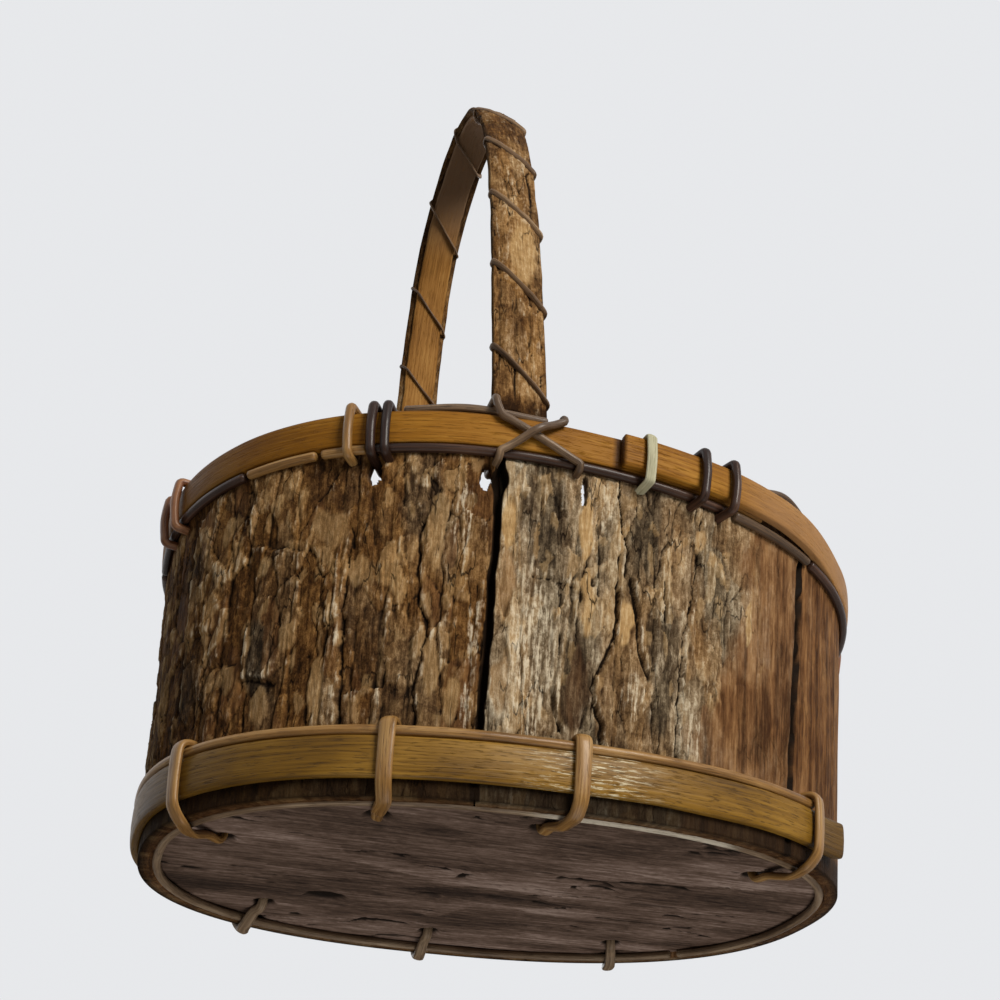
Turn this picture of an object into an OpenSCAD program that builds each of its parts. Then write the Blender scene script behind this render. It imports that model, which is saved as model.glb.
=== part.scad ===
// Oval bark basket: slabs of bark lashed between split-bamboo hoops, over a bark base
// plate, with a tall bamboo and bark handle bound by one spiral of cane.
// Millimetres. +X runs to the right along the oval, -Y is the front, +Z is up.

/* [Body] */
// Length of the foot over its hoop
foot_l = 160; // [145:1:175]
// Width of the foot over its hoop
foot_w = 109; // [100:1:120]
// Length of the rim over its hoop
rim_l = 180; // [165:1:195]
// Width of the rim over its hoop
rim_w = 128; // [118:1:138]
// Height of the rim in the middle of the long sides
rim_h = 86.5; // [78:0.5:97]
// Height of the rim at the left end
left_h = 82.5; // [76:0.5:92]
// Height of the rim at the right end
right_h = 77; // [72:0.5:88]
// Sideways lean of the rim over the foot
rim_shift = 4; // [0:0.5:6]
// Squareness of the oval plan, where 2 is an ellipse
plan_power = 2.35; // [2.1:0.05:2.6]

/* [Bark wall] */
// Thickness of a bark slab
bark_t = 2.6; // [2.2:0.1:3.4]
// Depth of the cracks in the bark
bark_relief = 1.2; // [0.6:0.1:1.6]
// Open gap between two slabs
bark_gap = 2.7; // [2.6:0.1:3.2]
// Drop of the bark's upper edge below the rim
bark_drop = 0.6; // [0.3:0.1:1.5]
// Rise of the bark's lower edge above the ties' bends
bark_rise = 0.5; // [0.2:0.1:1]

/* [Hoops] */
// Thickness of the outer hoops
hoop_t = 2; // [1.8:0.1:2.4]
// Height of the outer rim hoop
rim_hoop_h = 8; // [7.2:0.1:9.5]
// Thickness of the inner rim hoop
inner_hoop_t = 1.5; // [1.2:0.1:2]
// Height of the inner rim hoop
inner_hoop_h = 7.8; // [6.6:0.1:8]
// Height of the foot hoops
foot_hoop_h = 7.8; // [7:0.1:9.5]
// Rise of the foot hoops' lower edge above the ties' bends
hoop_rise = 3.6; // [2.5:0.1:4.5]
// Outward spring of the front foot hoop's free end
hoop_spring = 2; // [0:0.1:3]

/* [Canes and lashings] */
// Diameter of the cane under the rim hoop
rim_cane_d = 1.9; // [1.6:0.1:2]
// Diameter of the cane on the rim's upper edge
top_cane_d = 1.8; // [1.4:0.1:2]
// Height by which the upper cane bows up beside the handle
top_cane_bow = 1; // [0:0.1:1.5]
// Diameter of the cane above the foot hoop
foot_cane_d = 2; // [1.6:0.1:2]
// Diameter of the ring round the base plate
base_ring_d = 1.8; // [1.4:0.1:2]
// Diameter of the lashing cane
lash_d = 1.8; // [1.4:0.1:1.9]
// Width of the half-round ties under the base
tie_w = 3.4; // [2.6:0.1:3.8]
// Thickness of the half-round ties
tie_t = 1.6; // [1.3:0.1:1.8]
// Depth of the flat worn on the underside of each tie
tie_flat = 0.5; // [0.3:0.05:0.6]

/* [Base] */
// Thickness of the base plate
plate_t = 2.4; // [1.8:0.1:3.5]

/* [Handle] */
// Place of the handle along the length
handle_x = -17; // [-19:0.5:-15]
// Height of the handle's crown
handle_h = 248.5; // [227:0.5:272]
// Squareness of the handle's arch, where 2 is an ellipse
arch_power = 2.6; // [2.2:0.1:3]
// Width of the inner bamboo strip
core_w = 10.3; // [9:0.1:10.5]
// Thickness of the inner bamboo strip
core_t = 1.8; // [1.4:0.1:2.2]
// Width of the outer bark strip
strip_w = 13.6; // [12:0.1:14.4]
// Thickness of the outer bark strip
strip_t = 2; // [1.5:0.1:2.6]
// Length of the handle's legs below the rim
leg_l = 32; // [24:1:40]
// Height of the bark strip's ends above the rim
strip_rise = 6.5; // [6:0.1:10]
// Diameter of the wrapping cane
wrap_d = 1.3; // [1:0.1:1.6]
// Rise of the wrapping cane in one turn
wrap_pitch = 29.8; // [24:0.2:32]
// Height of the wrapping cane's ends above the rim
wrap_rise = 3.2; // [2.8:0.1:6]

/* [Fits] */
// Clearance between pieces that seat on each other
seat = 0.15; // [0.12:0.01:0.2]
// Least clearance of a cane where it crosses itself
cross_gap = 0.5; // [0.45:0.05:0.8]

/* [Hidden] */

// Colours as the photograph shows them
bark_brown = "#6f5335";
plate_brown = "#4a3a33";
bamboo = "#b07f2c";
tan_cane = "#b88a4c";
dark_cane = "#3a241a";
red_cane = "#7d4526";
pale_cane = "#cdbf95";

// Angular steps of the outer bands, the inner band, the canes and the base ring
band_step = 3;
inner_step = 4;
cane_step = 4;
ring_step = 6;
// Widest column of the bark's grid, half a crack's width, and the furrowed rows between the holes
column_w = 6;
crack_side = 1;
furrow_rows = 3;
// Sides of a cane, and rings in a quarter bend
cane_sides = 6;
bend_rings = 3;
// Room round a cane in its hole, in a hole that it passes askew, and inside a cane's bend
hole_room = 0.3;
skew_room = 0.55;
bend_room = 0.1;
// Length of a lashing's end inside the rim
lash_tail = 1.1 * lash_d;
// Spacings of two loops: side by side, on the right end, and apart
close_loops = 1.45 * lash_d + cross_gap;
end_loops = 2.8 * lash_d;
wide_loops = 4.4 * lash_d;

// Depths from the face of the outer hoops inward
bark_in = hoop_t + seat;
bark_back = bark_in + bark_t;
inner_in = bark_back + seat;
inner_back = inner_in + inner_hoop_t;
leg_in = inner_back + seat;

// Heights at the foot: the ties carry the part, then the bark, the ring, the plate and the hoops
foot_z = tie_t + seat + bend_room - tie_flat;
bark_z = foot_z + bark_rise;
base_ring_z = foot_z + seat + base_ring_d / 2;
plate_z = base_ring_z + base_ring_d / 2 + seat;
hoop_z = foot_z + hoop_rise;
foot_cane_z = hoop_z + foot_hoop_h + seat + foot_cane_d / 2;
tie_z = foot_cane_z + foot_cane_d / 2 + seat + tie_t / 2;
tie_hole_low = tie_z - tie_t / 2 - hole_room;
tie_hole_high = tie_z + tie_t / 2 + hole_room;

// Drops below the rim: the under-cane, and the lashings that pass through the bark
rim_cane_drop = rim_hoop_h + seat + rim_cane_d / 2;
lash_low = rim_hoop_h + seat + rim_cane_d;
lash_bend = seat + bend_room + lash_d / 2;
lash_hole_high = lash_low + lash_bend - lash_d / 2 - hole_room;
lash_hole_low = lash_low + lash_bend + lash_d / 2 + hole_room;

// The oval body as a function of the angle round it, the height and the depth
function plan_root(v) = sign(v) * pow(abs(v), 2 / plan_power);
function half_l(z) = (foot_l + (rim_l - foot_l) * z / rim_h) / 2;
function half_w(z) = (foot_w + (rim_w - foot_w) * z / rim_h) / 2;
left_x = rim_shift * left_h / rim_h - half_l(left_h);
right_x = rim_shift * right_h / rim_h + half_l(right_h);
centre_x = (left_x + right_x) / 2;
function lean(z) = rim_shift * z / rim_h - centre_x;
function at(t, z, depth) = [
    (half_l(z) - depth) * plan_root(cos(t)) + lean(z),
    (half_w(z) - depth) * plan_root(sin(t)),
    z
];
function rim_dip(c) = rim_h + (right_h - left_h) / 2 * c - (rim_h - (left_h + right_h) / 2) * c * c;
function rim_top(t) = rim_dip(plan_root(cos(t)));
function on_rim(t, depth, drop) = at(t, rim_top(t) - drop, depth);
function unit(v) = v / norm(v);
function way(t, z) = unit(at(t + 0.5, z, 0) - at(t - 0.5, z, 0));
function mm_per_deg(t, z) = norm(at(t + 0.5, z, 0) - at(t - 0.5, z, 0));
function beside(t, mm) =
    let (far = t + mm / mm_per_deg(t, rim_h), run = norm(at(far, rim_h, 0) - at(t, rim_h, 0)))
    mm == 0 ? t : t + (far - t) * abs(mm) / run;
function reversed(v) = [for (i = [len(v) - 1 : -1 : 0]) v[i]];

// Angle of a place along the length, on the back of the oval
function turn_at(x, z, depth) =
    let (c = (x - lean(z)) / (half_l(z) - depth))
    acos(sign(c) * pow(abs(c), plan_power / 2));
leg_back = turn_at(handle_x, rim_h, 0);
leg_front = 360 - leg_back;

// Ends of the handle lashings to the left and the right of the legs, and the angles of their holes
leg_side = core_w / 2 + seat + lash_d / 2;
front_reach = [-leg_side - lash_d / 6, leg_side + 3 * lash_d];
back_reach = [-leg_side - 1.6 * lash_d, leg_side + 1.6 * lash_d];
function lash_turn(x) = turn_at(handle_x + x, rim_h - lash_low - lash_bend, bark_in + bark_t / 2);

// Angles at which the bark slabs meet
gap_left = 165;
gap_front = 360 - lash_turn(front_reach[0]);
gap_right = 306.3;
gap_back_right = 375;
gap_back = 435;

// Lap of the outer rim hoop: its outer end, its inner end, and the ramp between them
lap_from = 271.5;
lap_to = 295;
lap_ramp = [297, 322];
lap_offset = hoop_t + seat;
function smooth(x) = let (u = min(max(x, 0), 1)) u * u * (3 - 2 * u);
function lap_rise(t) = lap_offset * smooth((lap_ramp[1] - t) / (lap_ramp[1] - lap_ramp[0]));
function hoop_face(t) = t >= lap_from && t <= lap_ramp[1] ? -lap_rise(t) : 0;

// Ties: angle on the foot hoop, then the angle and inset of the hole in the plate
tie_room = 1.4 * lash_d + tie_w / 2 + 2 * skew_room;
front_tie = 360 - turn_at(handle_x + front_reach[1] + tie_room, rim_h, 0);
back_tie = 360 + turn_at(handle_x + back_reach[1] + tie_room, rim_h, 0);
tie_at = [
    [205.5, 194, 16], [245.3, 240, 16], [front_tie, 268.5, 17], [310.5, 320, 17],
    [418, 414, 15], [back_tie, 453, 16], [486, 495, 16]
];

// Lashings round the rim: first angle, loops and the spacing of the loops
lash_at = [
    [187, 2, wide_loops], [235.5, 1, 0], [239.2, 2, close_loops], [274.5, 1, 0],
    [282, 2, wide_loops], [352, 2, end_loops], [408, 2, close_loops], [500, 2, close_loops]
];
lap_lash = 3;

// Holes in the bark: angle, width and whether a tie or a lashing passes
tie_holes = [
    for (k = tie_at)
        [k[0], (tie_w + 2 * skew_room) * mm_per_deg(k[0], rim_h) / mm_per_deg(k[0], tie_z), "tie"]
];
lash_holes = [
    for (k = [0 : len(lash_at) - 1], j = [0 : lash_at[k][1] - 1])
        let (l = lash_at[k], shared = l[2] <= close_loops, wide = shared ? l[2] * (l[1] - 1) : 0)
        if (j == 0 || !shared)
            [
                beside(l[0], l[2] * j + wide / 2),
                (k == lap_lash ? tie_w : lash_d) + wide + 2 * hole_room,
                "lash"
            ]
];
handle_holes = [
    for (t = [360 - lash_turn(front_reach[1]), lash_turn(back_reach[0]), lash_turn(back_reach[1])])
        [t, lash_d + 2 * skew_room, "lash"]
];
all_holes = concat(tie_holes, lash_holes, handle_holes);
function sorted(v) =
    len(v) <= 1 ? v :
    let (p = v[0][0], rest = [for (i = [1 : len(v) - 1]) v[i]])
    concat(
        sorted([for (h = rest) if (h[0] < p) h]), [v[0]],
        sorted([for (h = rest) if (h[0] >= p) h])
    );

// Main cracks of the bark: angle, then the heights between which each is open
front_cracks = [
    [172, 15, 60], [181, 20, 70], [198.8, 20, 60], [209, 12, 50], [217.2, 20, 75], [223.5, 12, 52],
    [231.5, 12, 40], [237.3, 12, 58], [243.3, 12, 44], [248.6, 12, 60], [252, 18, 74], [262.2, 12, 70],
    [272.1, 12, 76], [277.2, 25, 55], [279.4, 12, 50], [284.2, 12, 72], [296, 28, 62]
];
back_cracks = [for (k = [0 : 10]) [383 + 13 * k, 12 + 12 * (k % 3), 74 - 14 * (k % 2)]];
cracks = concat(front_cracks, [[330, 15, 40], [350, 25, 70]], back_cracks);

// A crack's columns between two angles: its bottom, and its lips where there is room for them
function crack_columns(crack, from, to) =
    let (t = crack[0], lip = crack_side / mm_per_deg(t, rim_h))
    [
        if (t - 1.5 * lip > from) [t - lip],
        [t, crack],
        if (t + 1.5 * lip < to) [t + lip]
    ];

// Two triangles of a four-cornered face
function quad(a, b, c, d) = [[a, b, c], [a, c, d]];

// Solid through a row of rings, each ring right-handed about the way along
module sweep(rings) {
    k = len(rings[0]);
    end = (len(rings) - 1) * k;
    sides = [
        for (i = [0 : len(rings) - 2], j = [0 : k - 1])
            let (a = i * k, b = a + k, n = (j + 1) % k)
            each quad(a + j, b + j, b + n, a + n)
    ];
    first = [for (j = [1 : k - 2]) [0, j, j + 1]];
    last = [for (j = [1 : k - 2]) [end, end + j + 1, end + j]];
    polyhedron([for (r = rings) each r], concat(sides, first, last));
}

// Tube along a path, wide along the first hint and thick across it, its underside cut at low_z.
// The width's direction is carried from ring to ring without twist.
module tube(path, hint, wide, thick, low_z = -1) {
    n = len(path);
    ways = [for (i = [0 : n - 1]) unit(path[min(i + 1, n - 1)] - path[max(i - 1, 0)])];
    function square(a, t) = unit(a - (a * t) * t);
    broad = [
        for (i = 0, a = square(hint, ways[0]); i < n; i = i + 1, a = square(a, ways[min(i, n - 1)])) a
    ];
    flat = thick / 2 / cos(180 / cane_sides);
    sweep([
        for (i = [0 : n - 1])
            let (b = cross(ways[i], broad[i]))
            [
                for (j = [0 : cane_sides - 1])
                    let (
                        f = 360 * j / cane_sides,
                        p = path[i] + wide / 2 * cos(f) * broad[i] + flat * sin(f) * b
                    )
                    [p.x, p.y, max(p.z, low_z)]
            ]
    ]);
}

// Running length along a path at each of its points
function runs(path) = [
    for (i = 0, s = 0; i < len(path); s = s + norm(path[min(i + 1, len(path) - 1)] - path[i]), i = i + 1) s
];

// Least gap of a tube to itself, between points along it that lie more than three diameters apart
function self_gap(path, d, step) =
    let (
        fine = [
            for (i = [0 : len(path) - 2])
                let (move = path[i + 1] - path[i], n = ceil(norm(move) / step))
                for (j = [0 : n - 1]) path[i] + move * j / n
        ],
        s = runs(fine),
        last = len(fine) - 1
    )
    min([for (i = [0 : last], j = [i : last]) if (s[j] - s[i] > 3 * d) norm(fine[i] - fine[j])]) - d;

// Points of a bend: centre depth and drop, radius, and angles from outward (0) through up (90)
function bend(s, depth, drop, r, from, to) = [
    for (k = [0 : bend_rings])
        let (f = from + (to - from) * k / bend_rings)
        [s, depth - r * cos(f), drop - r * sin(f)]
];

// Angles from one to another in even steps
function angles(from, to, step) =
    let (n = ceil((to - from) / step))
    [for (i = [0 : n]) from + (to - from) * i / n];

// Bark slab between two gaps, pierced where ties and lashings pass
module bark_slab(from, to) {
    t0 = beside(from, bark_gap / 2);
    t1 = beside(to, -bark_gap / 2);
    holes = sorted([
        for (h = all_holes, lap = [-360, 0, 360])
            if (h[0] + lap > t0 && h[0] + lap < t1) [h[0] + lap, h[1], h[2]]
    ]);
    stations = concat(
        [t0],
        [for (h = holes) each [beside(h[0], -h[1] / 2), beside(h[0], h[1] / 2)]],
        [t1]
    );
    cells = [
        for (k = [0 : len(stations) - 2])
            let (
                a = stations[k],
                b = stations[k + 1],
                pierced = k % 2 == 1,
                passage = pierced ? holes[(k - 1) / 2][2] : "none",
                room = crack_side / mm_per_deg(a, rim_h),
                open = [for (c = cracks) if (!pierced && c[0] > a + room && c[0] < b - room) c],
                cuts = concat([[a]], [for (c = open) each crack_columns(c, a, b)], [[b]])
            )
            for (m = [0 : len(cuts) - 2])
                let (
                    u = cuts[m][0],
                    v = cuts[m + 1][0],
                    n = pierced ? 1 : max(1, ceil(norm(at(v, rim_h, 0) - at(u, rim_h, 0)) / column_w))
                )
                for (j = [0 : n - 1])
                    [u + (v - u) * j / n, passage, j == 0 ? cuts[m][1] : undef]
    ];
    columns = concat(cells, [[t1, "none", undef]]);
    rows = furrow_rows + 5;
    lash_row = rows - 2;
    function row_z(t, r) =
        let (low = tie_hole_high, high = rim_top(t) - lash_hole_low)
        r == 0 ? bark_z : r == 1 ? tie_hole_low :
        r == rows ? rim_top(t) - bark_drop : r == rows - 1 ? rim_top(t) - lash_hole_high :
        low + (high - low) * (r - 2) / (furrow_rows + 1);
    function plate_level(i, r) = bark_relief * (0.12 * sin(i * 97 + r * 23) + 0.08 * sin(i * 41 - r * 57));
    function furrow(i, r, z) =
        let (c = columns[i][2], side = i == 0 || i == len(cells))
        side || r <= 2 || r >= lash_row ? 0 :
        c != undef && z > c[1] && z < c[2] ? bark_relief : plate_level(i, r);
    function solid(i, r) =
        i >= 0 && i < len(cells) && r >= 0 && r < rows &&
        !(cells[i][1] == "tie" && r == 1) && !(cells[i][1] == "lash" && r == lash_row);

    // Points of the outer face, then of the back, which has no furrowed rows
    outer = [
        for (i = [0 : len(cells)], r = [0 : rows])
            let (t = columns[i][0], z = row_z(t, r))
            at(t, z, bark_in + furrow(i, r, z))
    ];
    back = [for (c = columns, r = [0, 1, 2, lash_row, rows - 1, rows]) at(c[0], row_z(c[0], r), bark_back)];
    function f(i, r) = i * (rows + 1) + r;
    function b(i, r) = len(outer) + i * 6 + (r <= 2 ? r : r - furrow_rows);
    function plain(r) = r < 2 || r >= lash_row;
    function back_face(i, r) =
        plain(r) ? quad(b(i, r), b(i + 1, r), b(i + 1, r + 1), b(i, r + 1)) :
        r == 2 ? quad(b(i, 2), b(i + 1, 2), b(i + 1, lash_row), b(i, lash_row)) : [];
    function left_face(i, r) =
        plain(r) ? quad(b(i, r), b(i, r + 1), f(i, r + 1), f(i, r)) :
        r < lash_row - 1 ? [[b(i, 2), f(i, r + 1), f(i, r)]] :
        [[b(i, 2), f(i, r + 1), f(i, r)], [b(i, 2), b(i, lash_row), f(i, lash_row)]];
    function right_face(i, r) = [for (face = left_face(i, r)) reversed(face)];
    faces = [
        for (i = [0 : len(cells) - 1], r = [0 : rows - 1])
            if (solid(i, r))
                each concat(
                    quad(f(i, r), f(i, r + 1), f(i + 1, r + 1), f(i + 1, r)),
                    back_face(i, r),
                    solid(i - 1, r) ? [] : left_face(i, r),
                    solid(i + 1, r) ? [] : right_face(i + 1, r),
                    solid(i, r - 1) ? [] : quad(f(i, r), f(i + 1, r), b(i + 1, r), b(i, r)),
                    solid(i, r + 1) ? [] : quad(f(i, r + 1), b(i, r + 1), b(i + 1, r + 1), f(i + 1, r + 1))
                )
    ];
    color(bark_brown) polyhedron(concat(outer, back), faces);
}

// Flat strip bent round the oval between two heights and two depths
function strip_ring(t, low, high, face, back) =
    [at(t, high, back), at(t, high, face), at(t, low, face), at(t, low, back)];

// Round cane that runs round the oval
function cane_ring(t, z, depth, d) = [
    for (j = [0 : cane_sides - 1])
        let (f = 360 * j / cane_sides)
        at(t, z + d / 2 * cos(f), depth - d / 2 * sin(f))
];

module bark_front_left() bark_slab(gap_left, gap_front);
module bark_front_right() bark_slab(gap_front, gap_right);
module bark_right_end() bark_slab(gap_right, gap_back_right);
module bark_back_right() bark_slab(gap_back_right, gap_back);
module bark_back_left() bark_slab(gap_back, gap_left + 360);

// Bark base plate inside the wall, drilled for the ties
module base_plate() {
    edge = bark_back + seat;
    outline = [for (t = [0 : ring_step : 359]) let (p = at(t, plate_z, edge)) [p.x, p.y]];
    color(plate_brown)
        difference() {
            translate([0, 0, plate_z]) linear_extrude(plate_t) polygon(outline);
            for (k = tie_at) {
                p = at(k[1], plate_z, k[2]);
                translate([p.x, p.y, plate_z - 1])
                    cylinder(d = tie_w + 2 * skew_room, h = plate_t + 2, $fn = 32);
            }
        }
}

// Cane ring under the edge of the plate, butted at the right
module base_ring() {
    depth = bark_back + seat + base_ring_d / 2;
    color(tan_cane)
        sweep([for (t = angles(41, 399, ring_step)) cane_ring(t, base_ring_z, depth, base_ring_d)]);
}

// Foot hoops: one strip round the front whose right end springs out, one along the back
module foot_hoop(from, to, spring_from) {
    color(bamboo)
        sweep([
            for (t = angles(from, to, band_step))
                let (out = hoop_spring * pow(max(t - spring_from, 0) / (to - spring_from + 1), 2))
                strip_ring(t, hoop_z, hoop_z + foot_hoop_h, -out, hoop_t - out)
        ]);
}
module foot_hoop_front() foot_hoop(160, 321, 313);
module foot_hoop_back() foot_hoop(31, 129, 129);

// Canes on the foot hoops' upper edges
module foot_cane(from, to) {
    depth = bark_in - seat - foot_cane_d / 2;
    color(tan_cane)
        sweep([for (t = angles(from, to, cane_step)) cane_ring(t, foot_cane_z, depth, foot_cane_d)]);
}
module foot_cane_left() foot_cane(163, front_tie - 0.25);
module foot_cane_right() foot_cane(front_tie + 0.25, 311);
module foot_cane_back() foot_cane(34, 127);

// Half-round tie: through the bark, over the cane and the hoop, under the ring, into the plate
module tie(k) {
    r = seat + bend_room + tie_t / 2;
    cane_depth = bark_in - seat - foot_cane_d / 2;
    ring_depth = bark_back + seat + base_ring_d / 2;
    inset = tie_at[k][2];
    under_ring = base_ring_z - base_ring_d / 2 - r;
    under_plate = plate_z - r;
    route = concat(
        [[0, bark_back, tie_z]],
        [for (f = [90 : -30 : 0])
            [0, cane_depth - (foot_cane_d / 2 + r) * cos(f), foot_cane_z + (foot_cane_d / 2 + r) * sin(f)]],
        [for (f = [0 : 30 : 90]) [0, -r * cos(f), foot_z - r * sin(f)]],
        [
            [ring_depth / inset, ring_depth, under_ring],
            [1 - 2.6 * tie_t / inset, inset - 2.6 * tie_t, under_plate],
            [1 - 0.7 * tie_t / inset, inset - 0.7 * tie_t, under_plate],
            [1, inset, plate_z + 0.3 * plate_t],
            [1, inset, plate_z + 0.3 * plate_t + tie_w]
        ]
    );
    from = tie_at[k][0];
    to = tie_at[k][1];
    path = [for (p = route) at(from + (to - from) * p[0], p[2], p[1])];
    color(tan_cane) tube(path, way(from, tie_z), tie_w, tie_t, 0);
}
module tie_front_left() tie(0);
module tie_front_mid() tie(1);
module tie_front_right() tie(2);
module tie_right() tie(3);
module tie_back_right() tie(4);
module tie_back_mid() tie(5);
module tie_back_left() tie(6);

// Outer rim hoop: one strip, once round and lapped over its own start
module rim_outer_hoop() {
    color(bamboo)
        sweep([
            for (t = angles(lap_from, lap_to + 360, band_step))
                let (z = rim_top(t), out = lap_rise(t))
                strip_ring(t, z - rim_hoop_h, z, -out, hoop_t - out)
        ]);
}

// Inner rim hoop, butted at the back
module rim_inner_hoop() {
    color(bamboo)
        sweep([
            for (t = angles(70.5, 429.5, inner_step))
                strip_ring(t, rim_top(t) - inner_hoop_h, rim_top(t), inner_in, inner_back)
        ]);
}

// Canes under the outer rim hoop
module rim_cane(from, to, tint) {
    depth = bark_in - seat - rim_cane_d / 2;
    color(tint)
        sweep([
            for (t = angles(from, to, cane_step)) cane_ring(t, rim_top(t) - rim_cane_drop, depth, rim_cane_d)
        ]);
}
module rim_cane_left() rim_cane(176, 214.2, dark_cane);
module rim_cane_tan() rim_cane(215, 229.3, tan_cane);
module rim_cane_short() rim_cane(230.3, 238, tan_cane);
module rim_cane_dark() rim_cane(238.8, 288.6, dark_cane);
module rim_cane_right() rim_cane(289.4, 308.4, tan_cane);
module rim_cane_back_right() rim_cane(309.2, 449, dark_cane);
module rim_cane_back_left() rim_cane(450, 535, dark_cane);

// Canes on the outer hoop's upper edge
top_cane_depth = 0.75 * hoop_t;
top_cane_front = [leg_front - 18, leg_front + 2.5];
top_cane_right = [293, 310];
function top_cane_lift(t) =
    t > top_cane_front[0] && t < top_cane_front[1] ?
    top_cane_bow * pow(sin(180 * (t - top_cane_front[0]) / (top_cane_front[1] - top_cane_front[0])), 2) : 0;
module rim_top_cane(span) {
    color(tan_cane)
        sweep([
            for (t = angles(span[0], span[1], cane_step))
                let (z = rim_top(t) + seat + top_cane_d / 2 + top_cane_lift(t))
                cane_ring(t, z, top_cane_depth, top_cane_d)
        ]);
}
module rim_top_cane_front() rim_top_cane(top_cane_front);
module rim_top_cane_right() rim_top_cane(top_cane_right);

// Lashing round the hoops, through the bark below them, as one winding of evenly spaced loops.
// It starts square to the wall in its first hole and ends straight down inside the rim.
module lashing(k, name, tint, wide, thick) {
    from = lash_at[k][0];
    loops = lash_at[k][1];
    pitch = lash_at[k][2];
    r = seat + bend_room + thick / 2;
    face = hoop_face(from);
    low = lash_low + lash_bend - r;
    route = concat(
        [[0, inner_back + r, low + r]],
        [
            for (j = [0 : loops - 1])
                let (s = j * pitch, next = s + pitch)
                each concat(
                    bend(s, face, low, r, 270, 360),
                    bend(s, face, 0, r, 0, 90),
                    bend(s, inner_back, 0, r, 90, 180),
                    j < loops - 1 ? bend(next, inner_back, low, r, 180, 270) : []
                )
        ],
        [[(loops - 1) * pitch, inner_back + r, lash_tail]]
    );
    path = [for (p = route) on_rim(beside(from, p[0]), p[1], p[2])];
    echo(str(name, " least gap to itself"), self_gap(path, max(wide, thick), lash_d / 3));
    color(tint) tube(path, way(from, rim_h), wide, thick);
}
module lash_left_end() lashing(0, "lash_left_end", red_cane, lash_d, lash_d);
module lash_front_tan() lashing(1, "lash_front_tan", tan_cane, lash_d, lash_d);
module lash_front_dark() lashing(2, "lash_front_dark", dark_cane, lash_d, lash_d);
module lash_lap() lashing(lap_lash, "lash_lap", pale_cane, tie_w, lash_d / 2);
module lash_front_right() lashing(4, "lash_front_right", dark_cane, lash_d, lash_d);
module lash_right_end() lashing(5, "lash_right_end", red_cane, lash_d, lash_d);
module lash_back_right() lashing(6, "lash_back_right", dark_cane, lash_d, lash_d);
module lash_back_left() lashing(7, "lash_back_left", tan_cane, lash_d, lash_d);

// Handle: the legs lie inside the inner hoop, and the arch springs from the rim
function wall_y(x, z, depth) =
    (half_w(z) - depth) *
    pow(1 - pow(abs((x - lean(z)) / (half_l(z) - depth)), plan_power), 1 / plan_power);
function leg_y(z) =
    min([for (s = [-1, 1]) wall_y(handle_x + s * core_w / 2, z, leg_in)]) - core_t / 2;
function arch_root(v) = sign(v) * pow(abs(v), 2 / arch_power);
spring_z = rim_top(leg_front);
spring_y = leg_y(spring_z);
arch_step = 3;
arch = [
    for (f = [0 : arch_step : 180])
        [-spring_y * arch_root(cos(f)), spring_z + (handle_h - core_t / 2 - spring_z) * arch_root(sin(f))]
];
arch_run = runs(arch);
arch_len = arch_run[len(arch) - 1];
arch_ys = [for (i = [0 : len(arch) - 1]) [arch_run[i], arch[i][0]]];
arch_zs = [for (i = [0 : len(arch) - 1]) [arch_run[i], arch[i][1]]];
function arch_point(s) = [lookup(s, arch_ys), lookup(s, arch_zs)];
function arch_way(s) = unit(arch_point(min(s + 2, arch_len)) - arch_point(max(s - 2, 0)));
function on_handle(u, v, s) =
    let (p = arch_point(s), d = arch_way(s))
    [handle_x + u, p[0] - v * d[1], p[1] + v * d[0]];

// Section across the handle's line, from corners listed as width and outward height
function section(p, d, corners) =
    [for (c = corners) [handle_x + c[0], p[0] - c[1] * d[1], p[1] + c[1] * d[0]]];

// Inner bamboo strip with its two legs
module handle_core() {
    foot = spring_z - leg_l;
    line = concat([[-leg_y(foot), foot]], arch, [[leg_y(foot), foot]]);
    n = len(line);
    w = core_w / 2;
    t = core_t / 2;
    corners = [[-w, -t], [-w, t], [w, t], [w, -t]];
    color(bamboo)
        sweep([
            for (i = [0 : n - 1])
                section(line[i], unit(line[min(i + 1, n - 1)] - line[max(i - 1, 0)]), corners)
        ]);
}

// Domed section of the bark strip on the core
strip_low = core_t / 2 + seat;
strip_side = strip_low + 0.6 * strip_t;
strip_high = strip_low + strip_t;
strip_corners = [
    [strip_w / 2, strip_low], [strip_w / 2, strip_side], [strip_w / 4, strip_high],
    [-strip_w / 4, strip_high], [-strip_w / 2, strip_side], [-strip_w / 2, strip_low]
];
module handle_bark() {
    stops = concat(
        [strip_rise],
        [for (s = arch_run) if (s > strip_rise + 1 && s < arch_len - strip_rise - 1) s],
        [arch_len - strip_rise]
    );
    color(bark_brown)
        sweep([for (s = stops) section(arch_point(s), arch_way(s), reversed(strip_corners))]);
}

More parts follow.
